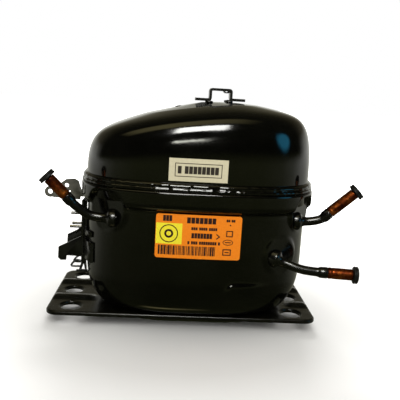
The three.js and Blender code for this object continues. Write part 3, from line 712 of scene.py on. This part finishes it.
def build_plug(name, route):
    """Rubber stopper: a tapered stem in the tube and a grooved flange outside it."""
    base = route.end + STUB[name] + 2 * GAP
    shape = [
        (-12, 0), (-12, 2.0), (-11.7, 2.4), (-11, 2.8), (-6, 2.9), (0, 2.9), (0, 5.7), (0.2, 6.15),
        (0.6, 6.3),
        (1.2, 6.3), (1.5, 5.95), (1.9, 5.95), (2.2, 6.25), (2.8, 6.2), (3.2, 5.9), (3.4, 5.4), (3.4, 3.2),
        (3.1, 2.7), (2.9, 2.2), (2.9, 0),
    ]
    solid = rings_solid(along_route(route, from_mm(base, shape), 40), closed=False)
    make_fine(f"{name}_plug", "plug_rubber", "plug_rubber", solid, 50, body=f"{name}_plug")


# ---------------------------------------------------------------- shell


class Flat:
    """A round spot of the shell pressed flat, so that its rim stands proud of the curved wall."""

    SINK = 0.2 * MM
    EDGE = 2.0 * MM
    REACH = 6 * MM
    LIP_MARGIN = 1.5 * MM
    LIP_FADE = 4 * MM

    def __init__(self, centre, normal, radius):
        self.centre = centre - normal * self.SINK
        self.normal = normal
        self.radius = radius

    def press(self, point):
        away = point - self.centre
        height = away.dot(self.normal)
        out = (away - self.normal * height).length
        if abs(height) > self.REACH or out > self.radius + self.EDGE:
            return point
        weight = smooth((self.radius + self.EDGE - out) / self.EDGE)
        weight *= smooth((LIP - self.LIP_MARGIN - point.z) / self.LIP_FADE)
        return point - self.normal * height * weight


def spot_on_wall(route, back, rise):
    """Centre and normal of a flat round a tube's exit, moved back along the wall and up."""
    place, _ = route.at(route.shell_exit())
    normal = wall_normal(place.x, place.y)
    sideways = Vector((-normal.y, normal.x, 0))
    if sideways.x * (place.x - PLAN_X) < 0:
        sideways = -sideways
    moved = place + sideways * back
    normal = wall_normal(moved.x, moved.y)
    moved -= normal * (lathe_radius(moved.x, moved.y) - WALL_HALF)
    moved.z += rise
    return moved, normal


def shell_flats():
    header_z = (HEADER_LO.z + HEADER_HI.z) / 2
    header = Vector((PLAN_X - WALL_HALF - STRETCH, 0, header_z))
    flats = [Flat(header, Vector((-1, 0, 0)), 17 * MM)]
    for name, radius, rise in [("process", 15, 6), ("suction", 13, 5.5), ("discharge", 13, 2.5)]:
        centre, normal = spot_on_wall(ROUTES[name], 4 * MM, rise * MM)
        flats.append(Flat(centre, normal, radius * MM))
    return flats


FLATS = shell_flats()
PAD = {
    "x0": 28.9 * MM, "x1": 66 * MM, "z0": 20 * MM, "z1": 39.6 * MM, "round": 8 * MM, "height": 1.3 * MM,
    "fade_x": 26 * MM, "fade_z": 9 * MM,
}
PAD_EDGE = 2.2 * MM


def pad_height(x, z):
    """Relief of the pressed pad low on the front, which fades out to the right."""
    dx = max(PAD["x0"] + PAD["round"] - x, 0)
    dz = max(z - PAD["z1"] + PAD["round"], 0)
    inside = PAD["round"] - math.hypot(dx, dz)
    fade = smooth((PAD["x1"] - x) / PAD["fade_x"]) * smooth((z - PAD["z0"]) / PAD["fade_z"])
    return PAD["height"] * smooth(inside / PAD_EDGE) * fade


def press_outside(point):
    """Pressed details of the lower shell's outer face."""
    for flat in FLATS:
        point = flat.press(point)
    if point.y < 0 and PAD["x0"] - 2 * MM < point.x < PAD["x1"] and point.z < NECK:
        point = point - Vector((0, 1, 0.35)).normalized() * pad_height(point.x, point.z)
    return point


def lean_in(point):
    """The lower shell's ends lean in towards the bottom, the right-hand one more."""
    out = (point.x - PLAN_X) / (WALL_HALF + STRETCH)
    down = max(0, LEAN["from"] - point.z) / LEAN["from"]
    lean = LEAN["right"] if out > 0 else LEAN["left"]
    return point - Vector((lean * out * abs(out) * down * down, 0, 0))


def bottom_profile(inset, steps):
    """Profile from the middle out to the foot of the wall: a shallow dish, a step up and a round corner."""
    low, seat = LOWER_LO.z + inset, SEAT + inset
    bend = DISH_EDGE - inset * math.tan(math.pi / 8)
    points = [(0, low), (bend - 1 * MM, low), (bend, low + 0.3 * MM), (bend + DISH_RUN, seat)]
    for i in range(steps + 1):
        angle = i / steps * math.pi / 2
        radius = WALL_HALF - CORNER_IN + (CORNER_IN - inset) * math.sin(angle)
        points.append((radius, SHOULDER - (SHOULDER - seat) * math.cos(angle)))
    return points


def build_lower_shell():
    neck = [
        (WALL_HALF, NECK - 2.2 * MM), (WALL_HALF - 0.05 * MM, NECK - 1.3 * MM),
        (WALL_HALF - 0.2 * MM, NECK - 0.6 * MM), (WALL_HALF - 0.05 * MM, NECK),
        (WALL_HALF + 0.6 * MM, NECK + 0.7 * MM),
    ]
    flare = [(WALL_HALF + 2.4 * MM, NECK + 1.9 * MM), (COLLAR_HALF - 0.8 * MM, NECK + 3.4 * MM)]
    collar = [(COLLAR_HALF - 0.15 * MM, NECK + 4.6 * MM), (COLLAR_HALF, NECK + 6 * MM)]
    lip = [
        collar[-1], (COLLAR_HALF, LIP - 1.2 * MM), (COLLAR_HALF - 0.35 * MM, LIP - 0.35 * MM),
        (COLLAR_HALF - 1.1 * MM, LIP),
    ]
    outside = evenly([*bottom_profile(0, 24), neck[0]], 1.25 * MM) + neck[1:]
    outside += evenly(flare + collar, 1 * MM) + evenly(lip, 0.8 * MM)[1:]
    seat = COLLAR_HALF - 3.5 * MM
    inside = [(seat, LIP), (seat, NECK + 6 * MM), (WALL_HALF - WALL, NECK + 2 * MM)]
    inside += reversed(bottom_profile(WALL, 10))

    def place(radius, height, angle):
        c, s = superellipse(angle)
        return lean_in(Vector((PLAN_X + longer(radius) * c, radius * s, height)))

    rings = turned(outside + inside, place, 420)
    for i in range(len(outside)):
        rings[i] = [press_outside(point) for point in rings[i]]
    make_fine("lower_shell", "black_paint", "shell_enamel", rings_solid(rings, closed=False), 60)


TACK = {"x": -10.4 * MM, "y": 0.0, "radius": 2.6 * MM, "height": 1.0 * MM}


def build_upper_shell():
    def crown(inset, spacing):
        """Dome profile from its foot to its middle, as (radius, height)."""
        points = []
        for i in range(400):
            angle = i / 400 * math.pi / 2
            out = math.sin(angle) ** (2 / DOME_SQUARE)
            lift = (1 - DOME_FALL * out * out) * math.cos(angle) ** (2 / 3)
            points.append(((DOME_HALF - inset) * out, DOME_FOOT + (DOME_RISE - inset) * lift))
        foot = (DOME_HALF - inset, DOME_FOOT)
        return evenly([foot, *reversed(points)], spacing)

    top = crown(0, 1.5 * MM)
    under = crown(WALL, 5 * MM)
    wall = evenly([(DOME_HALF, DOME_LO.z + 0.3 * MM), (DOME_HALF, DOME_FOOT)], 1.5 * MM)[:-1]
    outside = [(DOME_HALF - 0.3 * MM, DOME_LO.z), *wall, *top[:-1], (0, top[-1][1])]
    inside = [(0, under[-1][1]), *reversed(under[:-1]), (DOME_HALF - WALL, DOME_LO.z)]

    def place(radius, height, angle):
        c, s = superellipse(angle)
        x = PLAN_X + same_shape(radius) * c
        lift = max(0, height - DOME_FOOT)
        return Vector((x, radius * s, min(height, DOME_FOOT) + lift * dome_rise(x) / DOME_RISE))

    rings = turned(outside, place, 256)
    for point in [point for ring in rings for point in ring]:
        away = math.hypot(point.x - TACK["x"], point.y - TACK["y"]) / TACK["radius"]
        point.z += TACK["height"] * smooth(1 - away)
    rings += turned(inside, place, 256)
    make_fine("upper_shell", "black_paint", "shell_enamel", rings_solid(rings, closed=True), 60)


WELD_SECTION = [
    (0, -0.04), (2.6, -0.04), (3.2, 0.06), (3.4, 0.2), (3.0, 0.36), (2.35, 0.46), (2.65, 0.58), (2.6, 0.74),
    (1.7, 0.9), (0.6, 1.0), (-0.3, 1.0), (-0.3, 0.3),
]
# Where the torch stopped on the front: x and half length
WELD_STOPS = [mm(-52, 9), mm(38, 3)]


def weld_swell(point, rope):
    """How far the weld stands out at a point, in metres: long lumps, short ripples and the torch's stops."""
    beat = noise.noise(point * 95 + Vector((0, 0, 40 * rope)))
    ripple = noise.noise(point * 300 + Vector((7, 0, 9 * rope)))
    stop = 0
    if point.y < 0:
        stop = max(smooth(1 - abs(point.x - x) / (2 * half)) for x, half in WELD_STOPS)
    return (0.55 * beat + (0.28 + 0.3 * stop) * ripple + 0.35 * stop - 0.3) * MM


def build_weld_seam():
    """Lumpy weld bead laid in the groove between the two shells, in two overlapping ropes."""
    segments = 720
    inner = SEAM_LO.y * -1 - 3.4 * MM
    height = SEAM_HI.z - SEAM_LO.z

    def place(out, up, angle):
        c, s = superellipse(angle)
        radius = inner + out
        point = Vector((PLAN_X + longer(radius) * c, radius * s, SEAM_LO.z + up * height))
        proud = min(1, max(0, out) / (2.4 * MM))
        swell = proud * weld_swell(point, 1 if up < 0.47 else 2)
        return point + Vector((c, s, 0)).normalized() * swell

    rings = []
    for out, up in WELD_SECTION:
        rings.append([place(out * MM, up, 2 * math.pi * i / segments) for i in range(segments)])
    make_fine("weld_seam", "weld", "weld_enamel", rings_solid(rings, closed=True), 80)


# ---------------------------------------------------------------- base plate

FOOT = 6 * MM
PLATE_TOP = 9 * MM
PLATE_CORNER = 9 * MM
DISH = 38 * MM
DISH_SLOPE = 6 * MM
FOOT_HOLES = [(sx * 85 * MM, sy * 35 * MM, 8 * MM) for sx in (-1, 1) for sy in (-1, 1)]
FOOT_HOLES += [(sx * 88.5 * MM, 0, 7.6 * MM) for sx in (-1, 1)]
BEAD = {"y": 17.5 * MM, "half": 5.5 * MM, "height": 2.2 * MM, "inner": 78 * MM}
EDGE_ROUND = 1.2 * MM


def rounded_rectangle(half_x, half_y, radius, steps=10):
    points = []
    for sx, sy, start in [(1, 1, 0), (-1, 1, 90), (-1, -1, 180), (1, -1, 270)]:
        centre = (sx * (half_x - radius), sy * (half_y - radius))
        points += arc(centre, radius, start, start + 90, steps)
    return points


def plate_outline(inset):
    half_x, half_y = PLATE_HI.x - inset, PLATE_HI.y - inset
    return split_edges(rounded_rectangle(half_x, half_y, PLATE_CORNER - inset), 2.5 * MM)


def bead_height(x, y):
    """Height of the pressed beads, which run from the plate's ends in towards the dish."""
    across = (abs(y) - BEAD["y"]) / BEAD["half"]
    if abs(across) >= 1:
        return 0
    ending = smooth((abs(x - PLAN_X) - BEAD["inner"] + 3 * MM) / (7 * MM))
    outer = smooth((PLATE_HI.x - abs(x)) / (2.5 * MM))
    return BEAD["height"] * (1 - across * across) ** 0.8 * ending * outer


def build_base_plate():
    insets = [0.12 * MM, 0.4 * MM, 0.8 * MM, EDGE_ROUND]
    edges = [plate_outline(0)]
    guides = [(plate_outline(inset), inset) for inset in insets]
    for x, y, radius in FOOT_HOLES:
        edges.append(arc((x, y), radius, 0, 360, 56)[:-1])
        guides += [(arc((x, y), radius + inset, 0, 360, 56)[:-1], inset) for inset in insets]
    pitch = 1.8 * MM
    reach_x, reach_y = PLATE_HI.x - 1.9 * MM, PLATE_HI.y - 1.9 * MM
    fill = []
    for x in np.arange(-reach_x, reach_x, pitch):
        for y in np.arange(-reach_y, reach_y, pitch):
            clear = all(math.hypot(x - hx, y - hy) > r + 1.9 * MM for hx, hy, r in FOOT_HOLES)
            if clear and inside_corner(x, y, 1.9 * MM):
                fill.append((float(x), float(y)))

    def rounding(inset, radius):
        if inset is None or inset >= radius:
            return 0
        return radius - math.sqrt(radius * radius - (radius - inset) ** 2)

    def front(x, y, inset):
        dish = smooth((lathe_radius(x, y) - DISH + 1.5 * MM) / DISH_SLOPE)
        z = 3 * MM + dish * (PLATE_TOP - 3 * MM) + bead_height(x, y)
        return Vector((x, y, z - rounding(inset, EDGE_ROUND)))

    def back(x, y, inset):
        dish = smooth((lathe_radius(x, y) - DISH) / DISH_SLOPE)
        z = dish * FOOT + 0.8 * bead_height(x, y)
        return Vector((x, y, z + rounding(inset, 0.4 * MM)))

    make_fine("base_plate", "black_paint", "foot_enamel", sheet_solid(edges, guides, fill, front, back), 50)


def inside_corner(x, y, inset):
    """Whether a point is inside the plate's rounded outline by more than inset."""
    dx = abs(x) - (PLATE_HI.x - PLATE_CORNER)
    dy = abs(y) - (PLATE_HI.y - PLATE_CORNER)
    if dx <= 0 or dy <= 0:
        return True
    return math.hypot(dx, dy) < PLATE_CORNER - inset


# ---------------------------------------------------------------- bracket on the dome


def filleted(points, radius, steps=5):
    """A polyline in the plane with its inner corners rounded."""
    out = [points[0]]
    for before, corner, after in zip(points, points[1:], points[2:]):
        b, c, a = Vector(before), Vector(corner), Vector(after)
        start = c + (b - c).normalized() * radius
        stop = c + (a - c).normalized() * radius
        for i in range(steps + 1):
            t = i / steps
            out.append(tuple((1 - t) ** 2 * start + 2 * t * (1 - t) * c + t * t * stop))
    out.append(points[-1])
    return out


def offset_line(points, distance):
    """The polyline moved sideways by a distance, to its left."""
    moved = []
    for i, point in enumerate(points):
        before = Vector(points[max(0, i - 1)])
        after = Vector(points[min(len(points) - 1, i + 1)])
        along = (after - before).normalized()
        moved.append((point[0] - along.y * distance, point[1] + along.x * distance))
    return moved


def strip_solid(path, thick, y0, y1, edge):
    """A bent strip along a path in the X-Z plane, from y0 to y1, with its long edges eased."""
    rings = []
    for y, shrink in [(y0, edge), (y0 + edge, 0), (y1 - edge, 0), (y1, edge)]:
        over = offset_line(path, thick / 2 - shrink)
        under = offset_line(path, shrink - thick / 2)
        rings.append([Vector((x, y, z)) for x, z in [*over, *reversed(under)]])
    verts, faces = rings_solid(rings, closed=False)
    count = len(path)
    for first, flip in [(0, False), (3 * 2 * count, True)]:
        for i in range(count - 1):
            quad = (first + i, first + i + 1, first + 2 * count - 2 - i, first + 2 * count - 1 - i)
            faces.append(quad[::-1] if flip else quad)
    return verts, faces


def build_top_bracket():
    """Hat-shaped strip welded to the dome, with level feet and a small ear under its crown."""
    thick = 2 * MM
    left, right = BRACKET_LO.x, BRACKET_HI.x
    crown = BRACKET_HI.z - thick / 2
    post_left, post_right = left + 11.7 * MM, right - 11 * MM
    foot_left = dome_top(post_left + thick / 2) + GAP + thick / 2
    foot_right = dome_top(post_right - thick / 2) + GAP + thick / 2
    path = filleted(
        [(left, foot_left), (post_left, foot_left), (post_left, crown), (post_right, crown),
         (post_right, foot_right), (right, foot_right)],
        1.7 * MM,
    )
    half = BRACKET_HI.y
    strip = strip_solid(path, thick, -half, half, 0.3 * MM)
    under = crown - thick / 2 + 0.2 * MM
    ear = filleted([(post_right - 5.6 * MM, under), (post_right - 4.6 * MM, under - 1.3 * MM),
                    (post_right - 2.2 * MM, under - 1.2 * MM), (post_right - 1.4 * MM, under)], 0.5 * MM)
    ear_half = half - 0.4 * MM
    solid = joined([strip, strip_solid(ear, 0.9 * MM, -ear_half, ear_half, 0.1 * MM)])
    make_fine("top_bracket", "black_paint", "bracket_enamel", solid, 40)


def blob(centre, size, count=10):
    """An uneven flattened drop of weld metal about a centre."""
    rings = []
    for i in range(count + 1):
        tilt = math.pi * i / count
        if i in (0, count):
            rings.append([centre + Vector((0, 0, size[2] * math.cos(tilt)))])
            continue
        ring = []
        for j in range(2 * count):
            turn = math.pi * j / count
            shape = Vector((math.sin(tilt) * math.cos(turn), math.sin(tilt) * math.sin(turn), math.cos(tilt)))
            swell = 1 + 0.25 * noise.noise(centre * 900 + shape * 1.7)
            ring.append(centre + swell * Vector((shape.x * size[0], shape.y * size[1], shape.z * size[2])))
        rings.append(ring)
    return rings_solid(rings, closed=False)


def joined(solids):
    """Several solids' vertices and faces as one mesh."""
    verts, faces = [], []
    for more_verts, more_faces in solids:
        first = len(verts)
        verts += more_verts
        faces += [tuple(i + first for i in face) for face in more_faces]
    return verts, faces


def build_bracket_tacks():
    """Weld tacks along the front and back of the bracket's feet."""
    solids = []
    for x in (BRACKET_LO.x + 11 * MM, BRACKET_HI.x - 12.5 * MM):
        for side in (-1, 1):
            y = side * (BRACKET_HI.y + 0.8 * MM)
            centre = Vector((x, y, dome_top(x) - 0.2 * MM))
            solids.append(blob(centre, (2.8 * MM, 2.4 * MM, 1.2 * MM)))
    verts, faces = joined(solids)
    make_piece("bracket_tacks", "shell", "weld", ["bracket_enamel"], verts, faces, [], 80)


def build_cover_clip():
    """Wire spring clip, bent to a hook on each side, under the relay cover."""
    hook = [(-79.8, 34.4), (-88.4, 34.8), (-84.4, 39.4), (-80.2, 38.8)]
    near = [(x, -16.8, z) for x, z in hook]
    far = [(x, -5, z) for x, z in reversed(hook)]
    route = Route([*near, *far], straight=0)
    wire = 0.8 * MM
    profile = [(0, 0), (0, 0.8 * wire), (0.2 * MM, wire)]
    profile += evenly([(0.6 * MM, wire), (route.end - 0.6 * MM, wire)], 0.6 * MM)
    profile += [(route.end - 0.2 * MM, wire), (route.end - TINY, 0.8 * wire), (route.end - TINY, 0)]
    solid = rings_solid(along_route(route, profile, 12), closed=False)
    make_fine("cover_clip", "steel", "dark_steel", solid, 60)


# ---------------------------------------------------------------- labels


class Label:
    """A label on the front wall. Flat points are measured from its upper left corner, right and down."""

    def __init__(self, node, half):
        self.node = node
        self.low, self.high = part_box(node)
        self.half = half
        self.width = self.high.x - self.low.x
        self.height = self.high.z - self.low.z
        self.solids = {}

    def place(self, u, v, lift):
        x = self.low.x + u
        return Vector((x, front_wall(x, self.half) - lift, self.high.z - v))

    def sheet(self, finish, edges, back, front):
        """Adds a solid between two heights above the wall, inside the edge loops."""
        edges = [split_edges(edge, 2 * MM) for edge in edges]
        made = sheet_solid(
            edges, [], [],
            lambda u, v, inset: self.place(u, v, front),
            lambda u, v, inset: self.place(u, v, back),
        )
        self.solids.setdefault(finish, []).append(made)

    def print_shape(self, finish, *edges):
        self.sheet(finish, edges, 0.7 * MM, 0.84 * MM)

    def bar(self, finish, u0, v0, u1, v1):
        self.print_shape(finish, [(u0, v0), (u1, v0), (u1, v1), (u0, v1)])

    def block_line(self, finish, u0, u1, v0, v1, words):
        """A line of plain blocks in place of lettering; words gives how many blocks are in each group."""
        gap, space = 0.16, 0.7
        units = sum(words) + sum(words) * gap + (len(words) - 1) * space
        width = (u1 - u0) / units
        u = u0
        for word in words:
            for _ in range(word):
                self.bar(finish, u, v0, u + width, v1)
                u += width * (1 + gap)
            u += width * space

    def frame_line(self, finish, u0, v0, u1, v1, line):
        outer = [(u0, v0), (u1, v0), (u1, v1), (u0, v1)]
        u0, v0, u1, v1 = u0 + line, v0 + line, u1 - line, v1 - line
        inner = [(u0, v0), (u1, v0), (u1, v1), (u0, v1)]
        self.print_shape(finish, outer, inner)

    def oval_line(self, finish, centre, half_u, half_v, line, steps=40):
        loops = []
        for shrink in (0, line):
            angles = [2 * math.pi * i / steps for i in range(steps)]
            loops.append([
                (centre[0] + (half_u - shrink) * math.cos(a), centre[1] + (half_v - shrink) * math.sin(a))
                for a in angles
            ])
        self.print_shape(finish, *loops)

    def finish(self, slot):
        indices = []
        for number, solids in enumerate(self.solids.values()):
            indices += [number] * sum(len(more_faces) for _, more_faces in solids)
        verts, faces = joined([solid for solids in self.solids.values() for solid in solids])
        node = self.node
        make_piece(f"{node}_fine", "shell", slot, list(self.solids), verts, faces, [node], 30, indices)


def build_rating_label():
    """Orange data label: blocks, bars and plain signs where a real one has its text and marks."""
    label = Label("rating_label", WALL_HALF)
    ink = "brown_ink"
    corner = 1.9 * MM
    base = [
        (u + label.width / 2, v + label.height / 2)
        for u, v in rounded_rectangle(label.width / 2, label.height / 2, corner, 6)
    ]
    label.sheet("orange_film", [base], 0.3 * MM, 0.78 * MM)
    square = [mm(0.3, 6.6), mm(18.8, 6.6), mm(18.8, 21.8), mm(0.3, 21.8)]
    label.sheet("yellow_film", [square], 0.6 * MM, 0.81 * MM)
    label.oval_line(ink, mm(9.4, 14.2), 6.6 * MM, 6.6 * MM, 0.7 * MM)
    label.oval_line(ink, mm(9.4, 14.2), 3.2 * MM, 3.2 * MM, 1.5 * MM)
    label.block_line(ink, *mm(5, 11.6, 1.0, 5.2), [3])
    label.block_line(ink, *mm(22, 43, 1.9, 6.2), [7])
    label.block_line(ink, *mm(50, 56.4, 2.4, 4.2), [2, 2])
    label.oval_line(ink, mm(53, 6.5), 0.5 * MM, 0.5 * MM, 0.35 * MM, 12)
    label.block_line(ink, *mm(25.3, 43.9, 8.9, 11.0), [3, 4, 4])
    label.block_line(ink, *mm(25.6, 40.6, 13.2, 17.0), [7])
    chevron = [mm(43, 13.6), mm(43.7, 13.2), mm(46.2, 15.2), mm(43.7, 17.2), mm(43, 16.8), mm(45, 15.2)]
    label.print_shape(ink, chevron)
    label.block_line(ink, *mm(23, 46.5, 19.2, 21.5), [1, 3, 8, 1])
    label.frame_line(ink, *mm(50.4, 10.6, 55.1, 15.1, 0.6))
    label.oval_line(ink, mm(51.9, 19.2), 3.7 * MM, 2.1 * MM, 0.4 * MM)
    label.bar(ink, *mm(49.8, 18.9, 54, 19.5))
    label.frame_line(ink, *mm(48.4, 24.2, 54.5, 28.9, 0.7))
    label.bar(ink, *mm(50, 26.2, 52.9, 26.9))
    stripes(label, ink, *mm(2.2, 44.6, 22.9, 29.7))
    label.finish("orange_label")


def stripes(label, finish, u0, u1, v0, v1):
    """Upright stripes of uneven width, which stand for no number."""
    draw = random.Random(11)
    u = u0
    while u < u1 - 1 * MM:
        width = draw.choice([0.45, 0.45, 0.8, 1.2]) * MM
        label.bar(finish, u, v0, u + width, v1)
        u += width + draw.choice([0.35, 0.35, 0.7]) * MM


def build_serial_label():
    """Cream label: a ruled frame round a row of plain blocks."""
    label = Label("serial_label", DOME_HALF)
    base = [(0, 0), (label.width, 0), (label.width, label.height), (0, label.height)]
    label.sheet("cream_film", [base], 0.3 * MM, 0.78 * MM)
    side, top = 4.2 * MM, 3.2 * MM
    label.frame_line("grey_ink", side, top, label.width - side, label.height - top, 0.5 * MM)
    middle = label.height / 2
    label.block_line(
        "grey_ink", side + 2 * MM, label.width - side - 2 * MM, middle - 2.65 * MM, middle + 2.65 * MM, [1, 8]
    )
    label.finish("white_label")


# ---------------------------------------------------------------- CAD nodes that stay


def finish_cad_nodes():
    """Gives each CAD node the finish of its material slot in the record."""
    for part in frame["record"]["subparts"]:
        slot = part["material_slot"]
        for place in frame["nodes"][part["node"]].material_slots:
            place.material = FINISHES[SLOT_FINISH.get(slot, slot)]


# ---------------------------------------------------------------- stage

AREA_LIGHT_FACTOR = 4  # watts for each unit of radiance and square metre of an area light
AIM = Vector((0.008, 0, 0.13))
CAMERA_AT = (-0.014, -0.445, 0.176)
CAMERA_TURN = (-0.0565, 0.193, 0.0585)  # yaw, pitch down and roll, in radians


def add_camera():
    camera = bpy.data.objects.new("camera", bpy.data.cameras.new("camera"))
    bpy.context.scene.collection.objects.link(camera)
    camera.data.lens = 50.4
    camera.data.sensor_width = 36
    yaw, pitch, roll = CAMERA_TURN
    forward = Vector((-math.sin(yaw) * math.cos(pitch), math.cos(yaw) * math.cos(pitch), -math.sin(pitch)))
    level = Vector((math.cos(yaw), math.sin(yaw), 0))
    upright = level.cross(forward)
    right = math.cos(roll) * level + math.sin(roll) * upright
    up = math.cos(roll) * upright - math.sin(roll) * level
    turn = Matrix((right, up, -forward)).transposed()
    camera.matrix_world = Matrix.Translation(CAMERA_AT) @ turn.to_4x4()
    camera.data.clip_start = 0.01
    bpy.context.scene.camera = camera


def add_softbox(name, azimuth, elevation, distance, width, height, radiance, colour=(1, 1, 1)):
    """An area light round the object: azimuth 0 is in front and 90 to the right, in degrees."""
    a, e = math.radians(azimuth), math.radians(elevation)
    away = Vector((math.sin(a) * math.cos(e), -math.cos(a) * math.cos(e), math.sin(e)))
    light = bpy.data.lights.new(name, "AREA")
    light.shape = "RECTANGLE"
    light.size, light.size_y = width, height
    light.energy = AREA_LIGHT_FACTOR * radiance * width * height
    light.color = colour
    lamp = bpy.data.objects.new(name, light)
    bpy.context.scene.collection.objects.link(lamp)
    lamp.location = AIM + away * distance
    lamp.rotation_mode = "QUATERNION"
    lamp.rotation_quaternion = away.to_track_quat("Z", "Y")
    return lamp


def add_lights():
    """Softboxes in front, seen only as reflections, and a light behind that is never seen in one."""
    key = add_softbox("key", -2, 40, 1.2, 0.34, 0.34, 21, (1.0, 1.0, 0.95))
    strip = add_softbox("low_strip", -3, 14.5, 1.2, 0.20, 0.06, 12, (1.0, 1.0, 0.88))
    key.visible_diffuse = False
    strip.visible_diffuse = False
    backlight = add_softbox("backlight", 180, 28, 1.6, 0.6, 0.25, 26)
    backlight.visible_glossy = False


class Studio(Nodes):
    """What the enamel reflects: each method gives the colour seen in a direction, which is (x, y, z)."""

    WINDOW = (0.828, -0.498, 0.259)

    def __init__(self, tree):
        super().__init__(tree)
        self.direction = self.node("ShaderNodeTexCoord").outputs["Generated"]
        split = self.node("ShaderNodeSeparateXYZ")
        self.link(self.direction, split.inputs[0])
        self.x, self.y, self.z = split.outputs
        self.facing_back = self.from_signed(self.y)
        self.height = self.from_signed(self.z)

    def math(self, operation, first, second):
        made = self.node("ShaderNodeMath", operation=operation)
        for socket, value in zip(made.inputs, (first, second)):
            if isinstance(value, float):
                socket.default_value = value
            else:
                self.link(value, socket)
        return made.outputs[0]

    def from_signed(self, value, factor=0.5):
        """A value about 0 brought to the range of a ramp, about 0.5."""
        return self.math("ADD", self.math("MULTIPLY", value, factor), 0.5)

    def mix(self, amount, first, second):
        made = self.node("ShaderNodeMix", data_type="RGBA")
        self.link(amount, made.inputs["Factor"])
        for socket, value in ((made.inputs[6], first), (made.inputs[7], second)):
            if isinstance(value, tuple):
                socket.default_value = (*value, 1)
            else:
                self.link(value, socket)
        return made.outputs[2]

    def cove_and_room(self):
        """A white cove, whose wall shows only behind the object and its floor also beside it; a dim room."""
        aside = self.math("MULTIPLY", self.math("ABSOLUTE", self.x, 0.0), 0.5)
        behind = self.math("MULTIPLY", self.math("ADD", self.facing_back, aside), 0.8)
        above = self.ramp(self.facing_back, (0.46, 0.0), (0.54, 0.05), (0.62, 0.45), (0.72, 1.0))
        below = self.ramp(behind, (0.24, 0.0), (0.50, 0.10), (0.70, 0.42), (0.86, 1.0))
        cove = self.mix(self.ramp(self.height, (0.47, 0.0), (0.51, 1.0)), below, above)
        wall = self.ramp(
            self.height, (0.12, (0.02, 0.02, 0.01)), (0.28, (0.14, 0.14, 0.10)), (0.38, (0.42, 0.42, 0.34)),
            (0.49, (1.0, 1.0, 0.94)), (0.56, (0.8, 0.8, 0.72)), (0.64, (0.22, 0.20, 0.14)),
            (0.78, (0.10, 0.09, 0.05)), (0.88, (0.05, 0.045, 0.025)),
        )
        room = self.ramp(
            self.height, (0.30, (0.05, 0.056, 0.024)), (0.47, (0.155, 0.17, 0.075)),
            (0.53, (0.012, 0.012, 0.008)), (0.90, (0.03, 0.03, 0.02)),
        )
        return self.mix(cove, room, wall)

    def with_panel(self, studio):
        """Adds a warm panel on the ceiling, fading to both sides, placed by x/z and y/z."""
        up = self.math("MAXIMUM", self.z, 0.2)
        across, along = (self.from_signed(self.math("DIVIDE", part, up), 0.25) for part in (self.x, self.y))
        over_x = self.ramp(across, (0.20, 0.0), (0.32, 0.6), (0.44, 0.8), (0.50, 0.6), (0.62, 0.0))
        over_y = self.ramp(along, (0.31, 0.0), (0.35, 1.0), (0.45, 1.0), (0.48, 0.0))
        return self.mix(self.math("MULTIPLY", over_x, over_y), studio, (1.5, 1.3, 0.6))

    def with_window(self, studio):
        """Adds a blue window to the right of the front."""
        toward = self.node("ShaderNodeVectorMath", operation="DOT_PRODUCT")
        self.link(self.direction, toward.inputs[0])
        toward.inputs[1].default_value = self.WINDOW
        window = self.ramp(toward.outputs["Value"], (0.978, 0.0), (0.992, 1.0))
        return self.mix(window, studio, (0.19, 1.45, 2.4))


def add_world():
    """White for the camera, the studio for reflections, and a soft dome for every other ray."""
    world = bpy.data.worlds.new("studio")
    world.use_nodes = True
    studio = Studio(world.node_tree)
    reflected = studio.with_window(studio.with_panel(studio.cove_and_room()))
    lit = studio.ramp(studio.facing_back, (0.1, (0.72, 0.72, 0.70)), (0.9, (1.35, 1.33, 1.28)))
    ray = studio.node("ShaderNodeLightPath").outputs
    seen = studio.mix(ray["Is Glossy Ray"], lit, reflected)
    seen = studio.mix(ray["Is Camera Ray"], seen, (1.0, 1.0, 1.0))
    studio.link(seen, studio.tree.nodes["Background"].inputs["Color"])
    bpy.context.scene.world = world


FLOOR_HALF = 6.0  # metres


def add_floor():
    """A plain pale floor that brightens to pure white away from the object, wider than any view."""
    mesh = bpy.data.meshes.new("floor")
    corners = [(sx * FLOOR_HALF, sy * FLOOR_HALF, 0) for sx, sy in ((-1, -1), (1, -1), (1, 1), (-1, 1))]
    mesh.from_pydata(corners, [], [(0, 1, 2, 3)])
    finish = Finish("floor", Specular_IOR_Level=0.0, Roughness=0.9)
    grain = finish.noise(0.09, detail=3)
    finish.tone("Base Color", grain, (0.3, (0.86, 0.855, 0.84)), (0.7, (0.88, 0.875, 0.86)))
    away = finish.node("ShaderNodeVectorMath", operation="LENGTH")
    finish.link(finish.where, away.inputs[0])
    finish.tone("Emission Strength", away.outputs["Value"], (0.12, 0.0), (0.45, 1.0))
    finish.shader.inputs["Emission Color"].default_value = (1, 1, 1, 1)
    mesh.materials.append(finish.material)
    floor = bpy.data.objects.new("floor", mesh)
    bpy.context.scene.collection.objects.link(floor)
    floor.location.z = cad_box[0].z - 0.2 * MM
    floor.visible_glossy = False


def build():
    finish_cad_nodes()
    build_lower_shell()
    build_upper_shell()
    build_weld_seam()
    build_base_plate()
    for name, route in ROUTES.items():
        build_tube(name, route)
        build_stub(name, route)
        build_plug(name, route)
    build_top_bracket()
    build_bracket_tacks()
    build_cover_clip()
    refined_copy("terminal_fence", "bracket_enamel")
    refined_copy("cover_bracket", "grey_bracket_sheet")
    build_rating_label()
    build_serial_label()


add_camera()
add_world()
add_lights()
add_floor()
build()
bpy.context.scene.view_settings.view_transform = "Standard"
